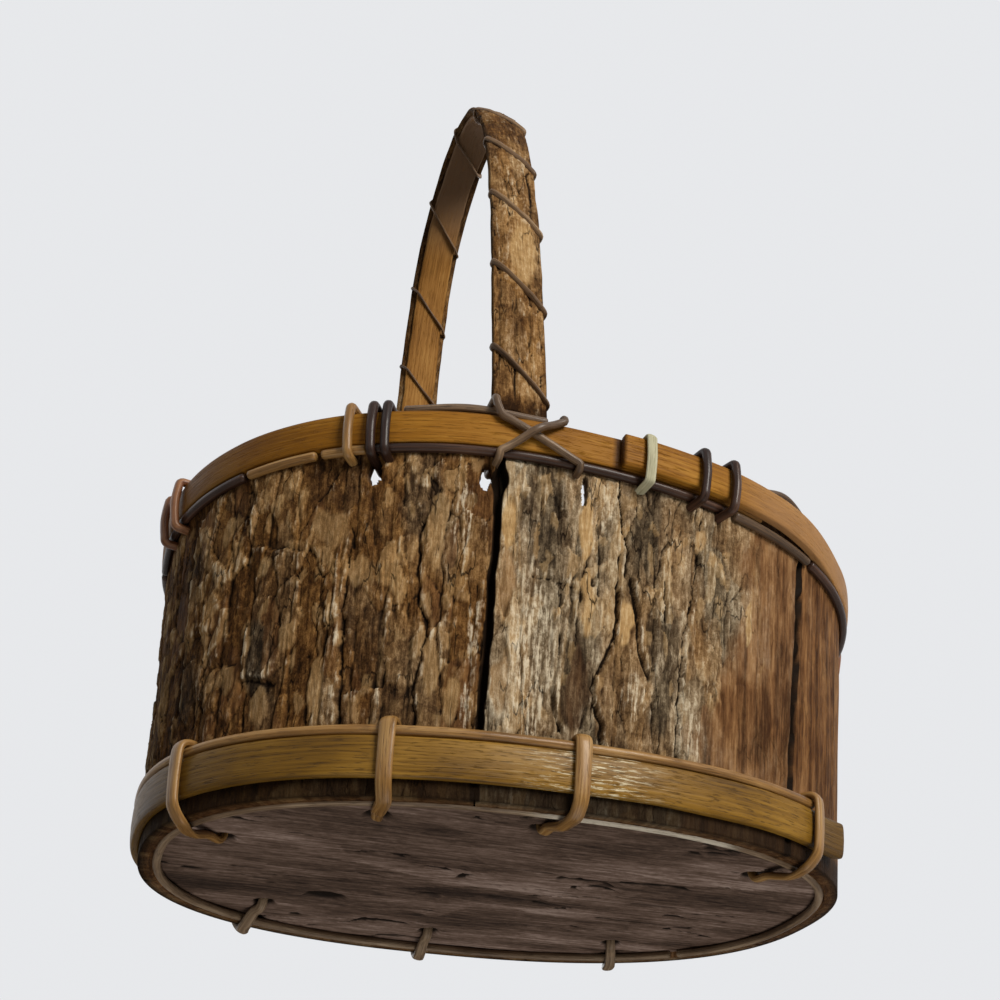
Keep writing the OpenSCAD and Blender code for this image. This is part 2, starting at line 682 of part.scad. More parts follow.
// Cane wound round the core and the bark strip from foot to foot, as one spiral
module handle_wrap() {
    hull_corners = concat([[core_w / 2, -core_t / 2]], strip_corners, [[-core_w / 2, -core_t / 2]]);
    n = len(hull_corners);
    r = seat + 2 * bend_room + wrap_d / 2;
    function side(i) =
        let (e = unit(hull_corners[(i + 1) % n] - hull_corners[i % n]))
        [e[1], -e[0]];
    loop = concat(
        [[0, -core_t / 2 - r]],
        [for (i = [0 : n - 1]) each [hull_corners[i] + r * side(i + n - 1), hull_corners[i] + r * side(i)]]
    );
    m = len(loop);
    widths = [for (i = [0 : m - 1]) abs(loop[(i + 1) % m][0] - loop[i][0])];
    whole = widths * [for (w = widths) 1];
    share = [for (i = 0, s = 0; i < m; s = s + widths[i], i = i + 1) s / whole];
    turns = floor(2 * (arch_len - 2 * wrap_rise) / wrap_pitch) / 2;
    count = floor(turns * m);
    path = [
        for (i = [0 : count])
            let (s = wrap_rise + wrap_pitch * (floor(i / m) + share[i % m]))
            on_handle(loop[i % m][0], loop[i % m][1], s)
    ];
    echo("handle_wrap least gap to itself", self_gap(path, wrap_d, 2 * wrap_d));
    color(tan_cane) tube(path, [0, 0, 1], wrap_d, wrap_d);
}

// Handle lashing: out of the right hole, up across the hoop, over the rim, behind the leg,
// over the rim again, and down across itself to the left hole
module handle_lashing(name, side, reach, lift) {
    r = lash_bend;
    deep = half_w(spring_z) - spring_y + core_t / 2;
    left = reach[0];
    right = reach[1];
    over = strip_w / 2 + seat + lash_d / 2;
    top = -lift;
    steps = 8;
    across = 2 * over / (right - left + 2 * over);
    hump = lash_d + cross_gap + 0.3;
    route = concat(
        [[right, inner_back + r, lash_low - lash_tail]],
        bend(right, inner_back, lash_low, r, 180, 270),
        bend(right, 0, lash_low, r, 270, 360),
        [for (i = [1 : steps - 1]) let (u = 1 - i / steps) [-over + (right + over) * u, -r, lash_low * u]],
        bend(-over, 0, top, r, 0, 90),
        bend(-over, inner_back, top, r, 90, 180),
        [for (f = [0 : 45 : 90]) [-core_w / 2 - r * cos(f), deep + r * sin(f), lash_tail]],
        [for (f = [90 : -45 : 0]) [core_w / 2 + r * cos(f), deep + r * sin(f), lash_tail]],
        bend(over, inner_back, 0, r, 180, 90),
        bend(over, 0, 0, r, 90, 0),
        [
            for (i = [1 : steps - 1])
                let (v = i / steps)
                [over + (left - over) * v, -r - hump * exp(-pow((v - across) / 0.25, 2)), lash_low * v]
        ],
        bend(left, 0, lash_low, r, 360, 270),
        bend(left, inner_back, lash_low, r, 270, 180),
        [[left, inner_back + r, lash_low - lash_tail]]
    );
    path = [
        for (p = route)
            let (x = handle_x + p[0], z = rim_dip((x - lean(rim_h)) / half_l(rim_h)) - p[2])
            [x, side * wall_y(x, z, p[1]), z]
    ];
    echo(str(name, " least gap to itself"), self_gap(path, lash_d, lash_d / 3));
    color(dark_cane) tube(path, [1, 0, 0], lash_d, lash_d);
}
front_lift = seat + top_cane_d + top_cane_bow;
module handle_lash_front() handle_lashing("handle_lash_front", -1, front_reach, front_lift);
module handle_lash_back() handle_lashing("handle_lash_back", 1, back_reach, 0);

bark_front_left();
bark_front_right();
bark_right_end();
bark_back_right();
bark_back_left();
base_plate();
base_ring();
foot_hoop_front();
foot_hoop_back();
foot_cane_left();
foot_cane_right();
foot_cane_back();
tie_front_left();
tie_front_mid();
tie_front_right();
tie_right();
tie_back_right();
tie_back_mid();
tie_back_left();
rim_outer_hoop();
rim_inner_hoop();
rim_cane_left();
rim_cane_tan();
rim_cane_short();
rim_cane_dark();
rim_cane_right();
rim_cane_back_right();
rim_cane_back_left();
rim_top_cane_front();
rim_top_cane_right();
lash_left_end();
lash_front_tan();
lash_front_dark();
lash_lap();
lash_front_right();
lash_right_end();
lash_back_right();
lash_back_left();
handle_core();
handle_bark();
handle_wrap();
handle_lash_front();
handle_lash_back();
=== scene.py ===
# %% [markdown]
# # An oval bark basket
#
# Five slabs of bark make the wall. Hoops of split bamboo clamp them at the rim and the foot, canes lash
# everything together, and a strip of bamboo and bark arches over the top as a fixed handle.
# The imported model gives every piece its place. Each plain solid is replaced here by a finer form in the
# same place, so its sizes are repeated in millimetres and turned into metres when a mesh is made.

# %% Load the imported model
import bmesh
import bpy
import numpy as np
from mathutils import Matrix, Vector


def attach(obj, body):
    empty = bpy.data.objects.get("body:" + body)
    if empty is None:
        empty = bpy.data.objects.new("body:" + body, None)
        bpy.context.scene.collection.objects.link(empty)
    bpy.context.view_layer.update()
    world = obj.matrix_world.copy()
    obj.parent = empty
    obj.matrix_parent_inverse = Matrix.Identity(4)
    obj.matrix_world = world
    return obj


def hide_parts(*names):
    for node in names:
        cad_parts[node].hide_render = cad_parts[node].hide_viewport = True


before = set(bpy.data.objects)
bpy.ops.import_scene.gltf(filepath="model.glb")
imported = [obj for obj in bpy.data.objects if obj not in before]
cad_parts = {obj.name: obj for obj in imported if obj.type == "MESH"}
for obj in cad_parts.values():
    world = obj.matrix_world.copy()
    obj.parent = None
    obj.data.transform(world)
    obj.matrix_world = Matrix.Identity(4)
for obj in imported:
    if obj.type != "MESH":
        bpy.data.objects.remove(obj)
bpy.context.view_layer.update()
MM = 0.001
print("solids in the packed model:", len(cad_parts))

# %% [markdown]
# ## The oval wall
#
# The body is a squarish oval that widens upwards and leans a little to the right, and its rim dips at both
# ends. One function of the angle round the oval, the height and the depth under the hoops' face places
# everything that follows, so the pieces fit each other without measuring.

# %% The oval as a function
FOOT_L, FOOT_W, RIM_L, RIM_W = 160.0, 109.0, 180.0, 128.0
RIM_H, LEFT_H, RIGHT_H = 86.5, 82.5, 77.0
RIM_SHIFT, PLAN_POWER = 4.0, 2.35


def half_l(z):
    return (FOOT_L + (RIM_L - FOOT_L) * z / RIM_H) / 2


def half_w(z):
    return (FOOT_W + (RIM_W - FOOT_W) * z / RIM_H) / 2


LEFT_X = RIM_SHIFT * LEFT_H / RIM_H - half_l(LEFT_H)
RIGHT_X = RIM_SHIFT * RIGHT_H / RIM_H + half_l(RIGHT_H)
CENTRE_X = (LEFT_X + RIGHT_X) / 2


def lean(z):
    return RIM_SHIFT * z / RIM_H - CENTRE_X


def plan_root(v):
    return np.sign(v) * np.abs(v) ** (2 / PLAN_POWER)


def wall(t, z, depth):
    turn = np.radians(t)
    x = (half_l(z) - depth) * plan_root(np.cos(turn)) + lean(z)
    y = (half_w(z) - depth) * plan_root(np.sin(turn))
    return np.stack(np.broadcast_arrays(x, y, z), axis=-1)


def rim_dip(c):
    return RIM_H + (RIGHT_H - LEFT_H) / 2 * c - (RIM_H - (LEFT_H + RIGHT_H) / 2) * c * c


def rim_top(t):
    return rim_dip(plan_root(np.cos(np.radians(t))))


def wall_y(x, z, depth):
    share = np.abs((x - lean(z)) / (half_l(z) - depth)) ** PLAN_POWER
    return (half_w(z) - depth) * (1 - share) ** (1 / PLAN_POWER)


def turn_at(x, z, depth):
    c = (x - lean(z)) / (half_l(z) - depth)
    return np.degrees(np.arccos(np.sign(c) * np.abs(c) ** (PLAN_POWER / 2)))


def mm_per_degree(t):
    return np.linalg.norm(wall(t + 0.5, RIM_H, 0) - wall(t - 0.5, RIM_H, 0), axis=-1)


def beside(t, mm):
    far = t + mm / mm_per_degree(t)
    run = np.linalg.norm(wall(far, RIM_H, 0) - wall(t, RIM_H, 0), axis=-1)
    return t + (far - t) * np.where(run > 0, np.abs(mm) / np.maximum(run, 1e-9), 1)


TURNS = np.arange(0.0, 720.25, 0.25)
GIRTH = wall(TURNS, np.full_like(TURNS, RIM_H / 2), 2.0)
RUNS = np.concatenate([[0.0], np.cumsum(np.linalg.norm(np.diff(GIRTH, axis=0), axis=1))])


def run_at(t):
    return np.interp(t, TURNS, RUNS)


def turn_at_run(s):
    return np.interp(s, RUNS, TURNS)


print("girth at half height: %.0f mm" % run_at(360.0))

# %% [markdown]
# ## From a grid to a skin
#
# Bark, hoops and canes are all long surfaces that close on themselves. Each could be drawn face by face,
# but a grid from Blender's own operator is simpler: its points are moved to their places, its two long edges
# meet and are merged, and the open ends are filled. The grid also carries the surface's own coordinates in
# millimetres, which the finishes use to run their grain the right way.

# %% Skin from a grid of points
def skin(points, uv, marks=None, holes=(), filled=True):
    columns, rows = points.shape[0] - 1, points.shape[1] - 1
    bm = bmesh.new()
    surface = bm.loops.layers.uv.new("UVMap")
    layers = {mark: bm.verts.layers.float.new(mark) for mark in (marks or {})}
    bmesh.ops.create_grid(bm, x_segments=columns, y_segments=rows, size=1.0)
    index = {v: (round((v.co.x + 1) / 2 * columns), round((v.co.y + 1) / 2 * rows)) for v in bm.verts}
    for face in bm.faces:
        for loop in face.loops:
            loop[surface].uv = uv[index[loop.vert]]
    rims = [pierce(bm, hole, columns, rows) for hole in holes]
    metres = points * MM
    for vert in bm.verts:
        place = index[vert]
        vert.co = metres[place]
        for mark, layer in layers.items():
            vert[layer] = marks[mark][place]
    for rim in rims:
        bmesh.ops.bridge_loops(bm, edges=rim)
    return closed(bm) if filled else bm


def pierce(bm, hole, columns, rows):
    gone = []
    for face in bm.faces:
        middle = face.calc_center_median()
        if hole[int((middle.x + 1) / 2 * columns), int((middle.y + 1) / 2 * rows)]:
            gone.append(face)
    edges = {edge for face in gone for edge in face.edges}
    gone_set = set(gone)
    rim = [edge for edge in edges if any(face not in gone_set for face in edge.link_faces)]
    bmesh.ops.delete(bm, geom=gone, context="FACES")
    return [edge for edge in rim if edge.is_valid]


def closed(bm):
    bmesh.ops.remove_doubles(bm, verts=bm.verts, dist=1e-7)
    ends = [edge for edge in bm.edges if edge.is_boundary]
    if ends:
        bmesh.ops.holes_fill(bm, edges=ends, sides=0)
    bmesh.ops.recalc_face_normals(bm, faces=bm.faces)
    return bm


def add_piece(node, bm, finish):
    mesh = bpy.data.meshes.new(node + "_fine")
    bm.to_mesh(mesh)
    bm.free()
    mesh.shade_smooth()
    mesh.materials.append(finish)
    piece = bpy.data.objects.new(node + "_fine", mesh)
    bpy.context.collection.objects.link(piece)
    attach(piece, "root")
    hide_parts(node)
    print(node, "faces:", len(mesh.polygons))
    return piece


# %% Noise for natural forms
def smooth(x):
    x = np.clip(x, 0, 1)
    return x * x * (3 - 2 * x)


def noise(x, y, seed):
    grid = np.random.default_rng(seed).random((64, 64))
    x, y = np.broadcast_arrays(np.asarray(x, float), np.asarray(y, float))
    i, j = np.floor(x).astype(int), np.floor(y).astype(int)
    u, v = smooth(x - i), smooth(y - j)
    i, j, i1, j1 = i % 64, j % 64, (i + 1) % 64, (j + 1) % 64
    low = grid[i, j] * (1 - u) + grid[i1, j] * u
    high = grid[i, j1] * (1 - u) + grid[i1, j1] * u
    return low * (1 - v) + high * v


def layers_of(x, y, seed, octaves):
    total = sum(noise(x * 2**k, y * 2**k, seed + 17 * k) / 2**k for k in range(octaves))
    return total / (2 - 2.0 ** (1 - octaves))


def wobble(s, seed, length):
    return 2 * layers_of(s / length, 0.37, seed, 2) - 1


def cells(x, y, size_x, size_y, seed):
    grid = np.random.default_rng(seed).random((3, 64, 64))
    u, v = x / size_x, y / size_y
    i, j = np.floor(u).astype(int), np.floor(v).astype(int)
    near = np.full((3, *u.shape), 9.0)
    second = near.copy()
    own = np.zeros(u.shape)
    for di in (-1, 0, 1):
        for dj in (-1, 0, 1):
            a, b = (i + di) % 64, (j + dj) % 64
            dx, dy = i + di + grid[0, a, b] - u, j + dj + grid[1, a, b] - v
            spot = np.stack([np.hypot(dx, dy), dx, dy])
            first = spot[0] < near[0]
            second = np.where(first, near, np.where(spot[0] < second[0], spot, second))
            near = np.where(first, spot, near)
            own = np.where(first, grid[2, a, b], own)
    slope_x = (near[1] / near[0] - second[1] / second[0]) / size_x
    slope_y = (near[2] / near[0] - second[2] / second[0]) / size_y
    return (second[0] - near[0]) / np.maximum(np.hypot(slope_x, slope_y), 1e-6), own


# %% [markdown]
# ## Finishes
#
# A material is a small program. Writing it as plain arithmetic keeps it readable, so one small class stands
# for a socket and turns Python's operators into Math nodes, and one method makes every other node.

# %% Shader arithmetic
class Wire:
    def __init__(self, finish, socket):
        self.finish, self.socket = finish, socket

    def maths(self, operation, first, second):
        return self.finish.node("ShaderNodeMath", {"operation": operation}, {0: first, 1: second})

    def __add__(self, other):
        return self.maths("ADD", self, other)

    def __radd__(self, other):
        return self.maths("ADD", other, self)

    def __sub__(self, other):
        return self.maths("SUBTRACT", self, other)

    def __rsub__(self, other):
        return self.maths("SUBTRACT", other, self)

    def __mul__(self, other):
        return self.maths("MULTIPLY", self, other)

    def __rmul__(self, other):
        return self.maths("MULTIPLY", other, self)

    def __truediv__(self, other):
        return self.maths("DIVIDE", self, other)

    def __rtruediv__(self, other):
        return self.maths("DIVIDE", other, self)

    def clipped(self):
        return self.finish.node("ShaderNodeClamp", {}, {0: self})


FLAT_NOISE, FLAT_CELLS = {"noise_dimensions": "2D"}, {"voronoi_dimensions": "2D"}


class Finish:
    def __init__(self, owner):
        owner.use_nodes = True
        self.owner = owner
        self.tree = owner.node_tree
        self.tree.nodes.clear()

    def node(self, kind, settings=None, sockets=None, output=0):
        made = self.tree.nodes.new(kind)
        for key, value in (settings or {}).items():
            if key == "stops":
                ramp = made.color_ramp
                while len(ramp.elements) < len(value):
                    ramp.elements.new(1.0)
                for element, (place, colour) in zip(ramp.elements, value):
                    element.position = place
                    element.color = (*colour, 1.0)
            else:
                setattr(made, key, value)
        for key, value in (sockets or {}).items():
            if isinstance(value, Wire):
                self.tree.links.new(value.socket, made.inputs[key])
            elif isinstance(value, tuple) and len(value) == 3 and made.inputs[key].type == "RGBA":
                made.inputs[key].default_value = (*value, 1.0)
            else:
                made.inputs[key].default_value = value
        return Wire(self, made.outputs[output]) if made.outputs else None

    def seen(self):
        kinds = ("Is Camera Ray", "Is Glossy Ray", "Is Transmission Ray")
        eye, mirror, glass = (self.node("ShaderNodeLightPath", output=kind) for kind in kinds)
        return (eye + mirror + glass).clipped()

    def mark(self, name):
        return self.node("ShaderNodeAttribute", {"attribute_name": name}, output="Fac")

    def place(self, scale, shift):
        surface = self.node("ShaderNodeUVMap", {"uv_map": "UVMap"})
        moved = {"Vector": surface, "Location": (shift, shift, 0.0), "Scale": (*scale, 1.0)}
        return self.node("ShaderNodeMapping", {}, moved)

    def bent(self, scale, shift, waves, amount):
        place = self.place(scale, shift)
        drift = self.node("ShaderNodeTexNoise", FLAT_NOISE, {"Vector": place, "Scale": waves}, "Color")
        drift = self.node("ShaderNodeVectorMath", {"operation": "SCALE"}, {0: drift, "Scale": amount})
        return self.node("ShaderNodeVectorMath", {"operation": "ADD"}, {0: place, 1: drift})

    def grain(self, scale, detail=4.0, rough=0.55, shift=0.0):
        place = self.place(scale, shift)
        sockets = {"Vector": place, "Scale": 1.0, "Detail": detail, "Roughness": rough}
        return self.node("ShaderNodeTexNoise", FLAT_NOISE, sockets)

    def crackle(self, scale, warp, shift):
        settings = {"feature": "DISTANCE_TO_EDGE", **FLAT_CELLS}
        sockets = {"Vector": self.bent(scale, shift, 2.5, warp), "Scale": 1.0}
        return self.node("ShaderNodeTexVoronoi", settings, sockets, "Distance")

    def flake(self, scale, shift):
        sockets = {"Vector": self.bent(scale, shift, 3.0, 0.7), "Scale": 1.0}
        hue = self.node("ShaderNodeTexVoronoi", FLAT_CELLS, sockets, "Color")
        return self.node("ShaderNodeSeparateColor", {}, {"Color": hue}, "Red")

    def spread(self, wire, low, high):
        sockets = {"Value": wire, "From Min": low, "From Max": high}
        return self.node("ShaderNodeMapRange", {"interpolation_type": "SMOOTHSTEP"}, sockets)

    def ramp(self, wire, stops):
        return self.node("ShaderNodeValToRGB", {"stops": stops}, {0: wire})

    def mix(self, factor, first, second, blend="MIX"):
        settings = {"data_type": "RGBA", "blend_type": blend}
        return self.node("ShaderNodeMix", settings, {0: factor, 6: first, 7: second}, output=2)

    def surface(self, colour, roughness, height, bump_mm, coat=0.0, coat_roughness=0.2, specular=0.5):
        sockets = {"Strength": 1.0, "Distance": bump_mm * MM, "Height": height}
        bump = self.node("ShaderNodeBump", {}, sockets)
        sockets = {
            "Base Color": colour, "Roughness": roughness, "Normal": bump, "Coat Weight": coat,
            "Coat Roughness": coat_roughness, "Specular IOR Level": specular,
        }
        shader = self.node("ShaderNodeBsdfPrincipled", {}, sockets)
        self.node("ShaderNodeOutputMaterial", {}, {"Surface": shader})
        return self.owner


# %% [markdown]
# ## Bark finish
#
# Old bark is a dark grey-brown crust that flakes off in plates. Fresh breaks show tan or cream, smooth
# inner bark is reddish, and the cracks are nearly black. The relief of each slab is real geometry, and it
# leaves five marks on the mesh: tone, hollow, red, pale and grey. The hollow mark carries painted shade and
# a
# painted highlight: where the relief sinks, in the gaps between slabs and under the foot hoop the colour is
# darkened nearly to black, and on raised edges it turns whitish. The pale mark also holds a painted
# highlight along the raised side of each crack. The finish reads the marks and adds fibres, flakes and dust
# at a finer scale.

# %% Bark finish
def bark_finish(name):
    f = Finish(bpy.data.materials.new(name))
    tone, hollow, red, pale, grey = (f.mark(m) for m in ("tone", "hollow", "red", "pale", "grey"))
    fibre = f.grain((1.5, 0.16), 5.0, 0.62)
    crumb = f.grain((0.9, 0.55), 6.0, 0.7, 31.0)
    dust = f.grain((0.11, 0.05), 3.0, 0.5, 57.0)
    sand = f.grain((3.6, 2.4), 3.0, 0.6, 43.0)
    chip = f.flake((0.62, 0.22), 91.0)
    split = f.crackle((0.30, 0.075), 0.55, 71.0)
    crack = (1 - f.spread(split, 0.01, 0.04)) * f.spread(f.grain((0.16, 0.07), 2.0, 0.5, 83.0), 0.5, 0.62)
    crack = crack * (1 - red * 0.8)
    value = tone * 0.5 + (fibre - 0.5) * 0.6 + (crumb - 0.5) * 0.85 + (dust - 0.5) * 0.3
    value = value + (chip - 0.5) * 0.2 + (sand - 0.5) * 0.3 + 0.26
    colour = f.mix(grey, f.ramp(value, WARM_BARK), f.ramp(value, GREY_BARK))
    streak = f.grain((0.5, 0.018), 4.0, 0.6, 17.0)
    inner = f.ramp(fibre * 0.7 + streak * 1.1 + dust * 0.5 + tone * 0.3 - 0.8, INNER_BARK)
    colour = f.mix(red, colour, inner)
    fresh = f.ramp(fibre * 0.6 + crumb * 0.4, FRESH_AND_LIT_BARK)
    colour = f.mix(pale, colour, fresh)
    # painted shade: where the hollow mark is low, in recesses, slab gaps and under the foot hoop, the colour
    # turns near-black
    shade = f.spread(hollow, 0.02, 0.42)
    colour = f.mix(shade, CRACK_AND_SHADE_BARK, colour)
    colour = f.mix(crack * 0.8, colour, CRACK_AND_SHADE_BARK)
    # painted highlight: where the hollow mark is high, on raised edges, the colour turns whitish; the worn
    # streaks raise the mark and take the same whitish colour
    glint = f.spread(hollow, 0.56, 0.95) * f.spread(fibre * 0.6 + crumb * 0.4, 0.44, 0.62)
    colour = f.mix(glint * 0.85, colour, WORN_AND_HIGHLIT_BARK)
    roughness = 0.78 - 0.22 * red + (crumb - 0.5) * 0.25
    height = fibre * 0.6 + crumb * 0.8 + chip * 0.35 + sand * 0.3 - crack
    return f.surface(colour, roughness, height, 0.3, specular=0.04)


WARM_BARK = [
    (0.0, (0.020, 0.0082, 0.0026)), (0.26, (0.082, 0.036, 0.0105)), (0.46, (0.180, 0.088, 0.027)),
    (0.64, (0.31, 0.168, 0.058)), (0.82, (0.47, 0.30, 0.14)), (1.0, (0.64, 0.50, 0.31)),
]
GREY_BARK = [
    (0.0, (0.016, 0.011, 0.0068)), (0.26, (0.062, 0.043, 0.025)), (0.46, (0.142, 0.104, 0.062)),
    (0.64, (0.265, 0.208, 0.135)), (0.82, (0.45, 0.38, 0.27)), (1.0, (0.68, 0.61, 0.48)),
]
INNER_BARK = [(0.2, (0.050, 0.019, 0.0065)), (0.5, (0.165, 0.074, 0.028)), (0.8, (0.32, 0.168, 0.068))]
# tan and cream of fresh breaks, also the painted highlight beside cracks
FRESH_AND_LIT_BARK = [(0.25, (0.22, 0.118, 0.040)), (0.5, (0.46, 0.29, 0.125)), (0.75, (0.70, 0.53, 0.31))]
# near-black of the cracks, also used as painted shade in recesses
CRACK_AND_SHADE_BARK = (0.009, 0.0048, 0.0024)
# whitish colour of worn streaks, also the painted highlight on raised edges
WORN_AND_HIGHLIT_BARK = (0.66, 0.57, 0.42)
bark_outside = bark_finish("furrowed_bark")
print("bark finish nodes:", len(bark_outside.node_tree.nodes))

# %% [markdown]
# ## The wall of bark
#
# The slabs are thick, cracked along the grain and flaked in steps. A bump in the material would do for
# shading, but the broken edges show against the light, so the relief is moved points: plates with sunken
# seams, smaller flakes at stepped levels, fibres, and the main cracks and bare patches listed one by one
# where the real ones are.

# %% Depths, heights and the main cracks
HOOP_T, BARK_T, SEAT, INNER_T = 2.0, 2.6, 0.15, 1.5
BARK_IN = HOOP_T + SEAT
BARK_BACK = BARK_IN + BARK_T
INNER_IN = BARK_BACK + SEAT
INNER_BACK = INNER_IN + INNER_T
BARK_Z, BARK_DROP = 1.85, 0.6
FOOT_BAND, RIM_BAND = 14.4, 9.7

# Each crack: depth and half width in mm, step of the plate to its right, then angles and heights upwards
CRACKS = [
    (0.9, 0.45, 0.1, [(207, 16.5), (207, 24), (207.5, 31.5), (208.5, 38.5)]),
    (0.9, 0.40, 0.3, [(217.2, 24.5), (217, 32.5), (217.2, 39.5)]),
    (1.2, 0.40, -0.2, [(236.7, 15.5), (236.5, 30), (236, 36.5), (236.2, 45), (236.5, 58.5)]),
    (1.1, 0.50, 0.3, [(248.5, 14.5), (248, 22.5), (248.8, 31), (249.5, 37.5), (247.8, 42), (247.5, 60.5)]),
    (0.8, 0.35, 0.2, [(252, 20.5), (251, 33.5), (251, 44.5), (251, 56), (252.5, 74.5)]),
    (0.7, 0.35, 0.3, [(255.8, 14.5), (255.8, 32), (256.2, 46.5)]),
    (0.6, 0.35, -0.2, [(222.2, 15.5), (222.8, 30), (224.2, 43), (224.5, 54.5)]),
    (0.7, 0.35, 0.2, [(231, 15.5), (231.8, 29), (231.8, 39.5)]),
    (0.7, 0.40, 0.2, [(198.5, 24.5), (198.8, 41.5), (198.5, 62.5)]),
    (0.7, 0.40, -0.3, [(243.2, 15.5), (243.5, 31), (243.8, 43.5)]),
    (0.7, 0.40, 0.2, [(216, 52.5), (215.8, 66.5), (215.5, 76.5)]),
    (0.8, 0.35, 0.3, [(262.5, 14.5), (262.8, 24.5), (262, 35), (261.8, 44), (261.2, 50.5), (260.8, 70.5)]),
    (0.9, 0.45, -0.3, [(268.8, 35.5), (268.8, 43.5), (269, 52), (269.8, 58), (269, 65), (269, 74.5)]),
    (1.6, 0.70, -0.4, [(273.2, 53.5), (273.5, 59.5), (272.5, 64.5), (272, 77.5)]),
    (1.6, 0.60, 0.5, [(271.5, 14.5), (271.5, 20), (270.2, 27), (271.8, 35), (272.5, 42.5), (272.5, 51.5)]),
    (1.5, 0.60, 0.4, [(276.8, 31.5), (275.5, 37), (275, 45.5), (274, 53.5)]),
    (1.4, 0.60, -0.2, [(278.8, 44.5), (278.5, 54.5)]),
    (1.2, 0.50, 0.4, [(281.2, 14.5), (281.5, 32.5), (281.8, 41.5), (283, 50.5), (283.8, 59), (284, 72.5)]),
    (1.1, 0.45, 0.5, [(267.8, 16.5), (266.8, 20.5), (266.3, 25), (267, 31.5), (267, 37.5)]),
    (0.4, 0.30, 0.1, [(296, 32.5), (296.8, 42.5), (296, 53), (294.5, 63.5)]),
    (0.7, 0.40, -0.3, [(288.2, 30.5), (287.8, 39), (285.8, 44.5)]),
    (0.6, 0.30, 0.2, [(264, 64.5), (263.5, 76.5)]),
]

# Evenly spaced cracks on the back
BACK_CRACKS = []
for k in range(11):
    lower, upper = (383 + 13 * k, 14 + 12 * (k % 3)), (383.4 + 13 * k, 72 - 14 * (k % 2))
    BACK_CRACKS.append((1.0, 0.6, 0.2, [lower, upper]))

# Each broken ledge: step in mm of the part above it, then angles and heights from left to right
LEDGES = [
    (0.4, [(231.6, 36), (236.8, 38)]), (-0.4, [(237.2, 22), (243.2, 23.5)]),
    (0.35, [(198.5, 41), (209, 39.5)]), (-0.4, [(216, 57.5), (228, 53.5)]),
    (0.5, [(217, 27), (224.3, 25.5)]), (0.35, [(208.6, 31.5), (215.6, 31)]),
    (0.4, [(263, 50), (268.5, 49)]), (-0.12, [(286, 33.5), (296, 36)]),
]

# Each bare patch: angle and height of its middle, half width and half height in mm, pale, red and level
PATCHES = [
    (259.9, 61.0, 1.9, 7.0, 1.0, 0.1, -0.5), (260.0, 48.0, 1.7, 7.0, 0.25, 0.6, -0.5),
    (273.6, 43.0, 1.7, 6.2, 0.95, 0.0, -0.6), (232.5, 58.5, 4.2, 4.4, 0.3, 0.1, 0.1),
    (238.4, 48.0, 2.8, 3.6, 0.35, 0.1, 0.0), (244.4, 46.0, 1.7, 3.4, 0.5, 0.0, 0.1),
    (260.0, 24.5, 1.7, 8.0, 0.3, 0.3, -0.3), (283.9, 66.5, 1.5, 3.6, 0.6, 0.3, 0.1),
    (232.4, 23.0, 1.6, 5.5, 0.5, 0.2, 0.0), (250.2, 28.0, 1.5, 7.0, 0.45, 0.2, 0.0),
    (253.6, 21.0, 1.6, 5.0, 0.5, 0.1, 0.0), (219.6, 52.0, 1.5, 2.6, 0.5, 0.0, 0.0),
    (209.8, 63.0, 1.3, 3.2, 0.45, 0.0, 0.0), (250.0, 58.5, 1.8, 9.0, 0.4, 0.2, 0.1),
    (269.2, 63.0, 1.6, 11.0, 0.95, 0.0, 0.3), (269.7, 46.0, 1.4, 9.0, 0.85, 0.0, 0.3),
    (226.0, 35.0, 2.4, 3.0, 0.4, 0.1, 0.1), (221.5, 20.5, 2.0, 4.0, 0.35, 0.2, -0.1),
    (213.5, 28.5, 2.6, 3.0, 0.3, 0.1, 0.1), (268.9, 26.5, 2.9, 9.5, 0.0, 0.3, 0.3),
    (292.0, 25.0, 9.0, 7.0, 0.0, 0.75, -0.2), (294.0, 49.0, 1.1, 5.5, 0.7, 0.3, 0.0),
]

# Each darker or greyer place: angle and height of its middle, half sizes in mm, then tone and grey
SHADES = [
    (264.3, 64.0, 5.0, 14.0, -0.5, 0.3), (275.8, 66.0, 3.5, 11.0, -0.4, 0.3),
    (278.5, 38.0, 3.5, 16.0, -0.4, 0.3), (286.0, 54.0, 3.5, 14.0, -0.25, 0.2),
    (268.9, 26.5, 3.2, 10.0, -0.7, 0.0), (221.0, 31.0, 4.0, 7.0, -0.25, 0.5),
    (269.6, 56.0, 1.6, 18.0, 0.3, -0.3), (263.5, 30.0, 4.0, 12.0, 0.2, 0.0),
    (284.0, 24.0, 2.5, 9.0, 0.2, 0.0), (233.0, 70.0, 7.0, 8.0, -0.2, 0.1),
    (247.0, 66.0, 4.0, 10.0, -0.2, 0.4), (252.0, 60.0, 3.0, 14.0, 0.15, 0.2),
    (294.5, 27.0, 8.0, 10.0, -0.5, -0.3), (302.0, 40.0, 4.0, 26.0, -0.25, -0.2),
]

# Each worn whitish streak: angle and height of its middle, half width and half height in mm
STREAKS = [
    (264.4, 29.0, 4.4, 15.0), (263.6, 40.0, 3.0, 9.0), (255.9, 35.5, 1.0, 8.0), (255.6, 19.5, 1.4, 5.0),
    (284.0, 20.5, 1.8, 5.0), (275.0, 26.5, 2.5, 5.0), (253.5, 62.5, 2.0, 8.0), (270.8, 68.5, 1.3, 6.0),
]

# Smooth inner bark begins to the right of this line of heights and angles
INNER_EDGE = [(0, 284.0), (20, 285.2), (32, 287.8), (45, 290.8), (55, 292.5), (71, 293.0), (84, 293.0)]
print("cracks:", len(CRACKS + BACK_CRACKS), "ledges:", len(LEDGES), "patches:", len(PATCHES))


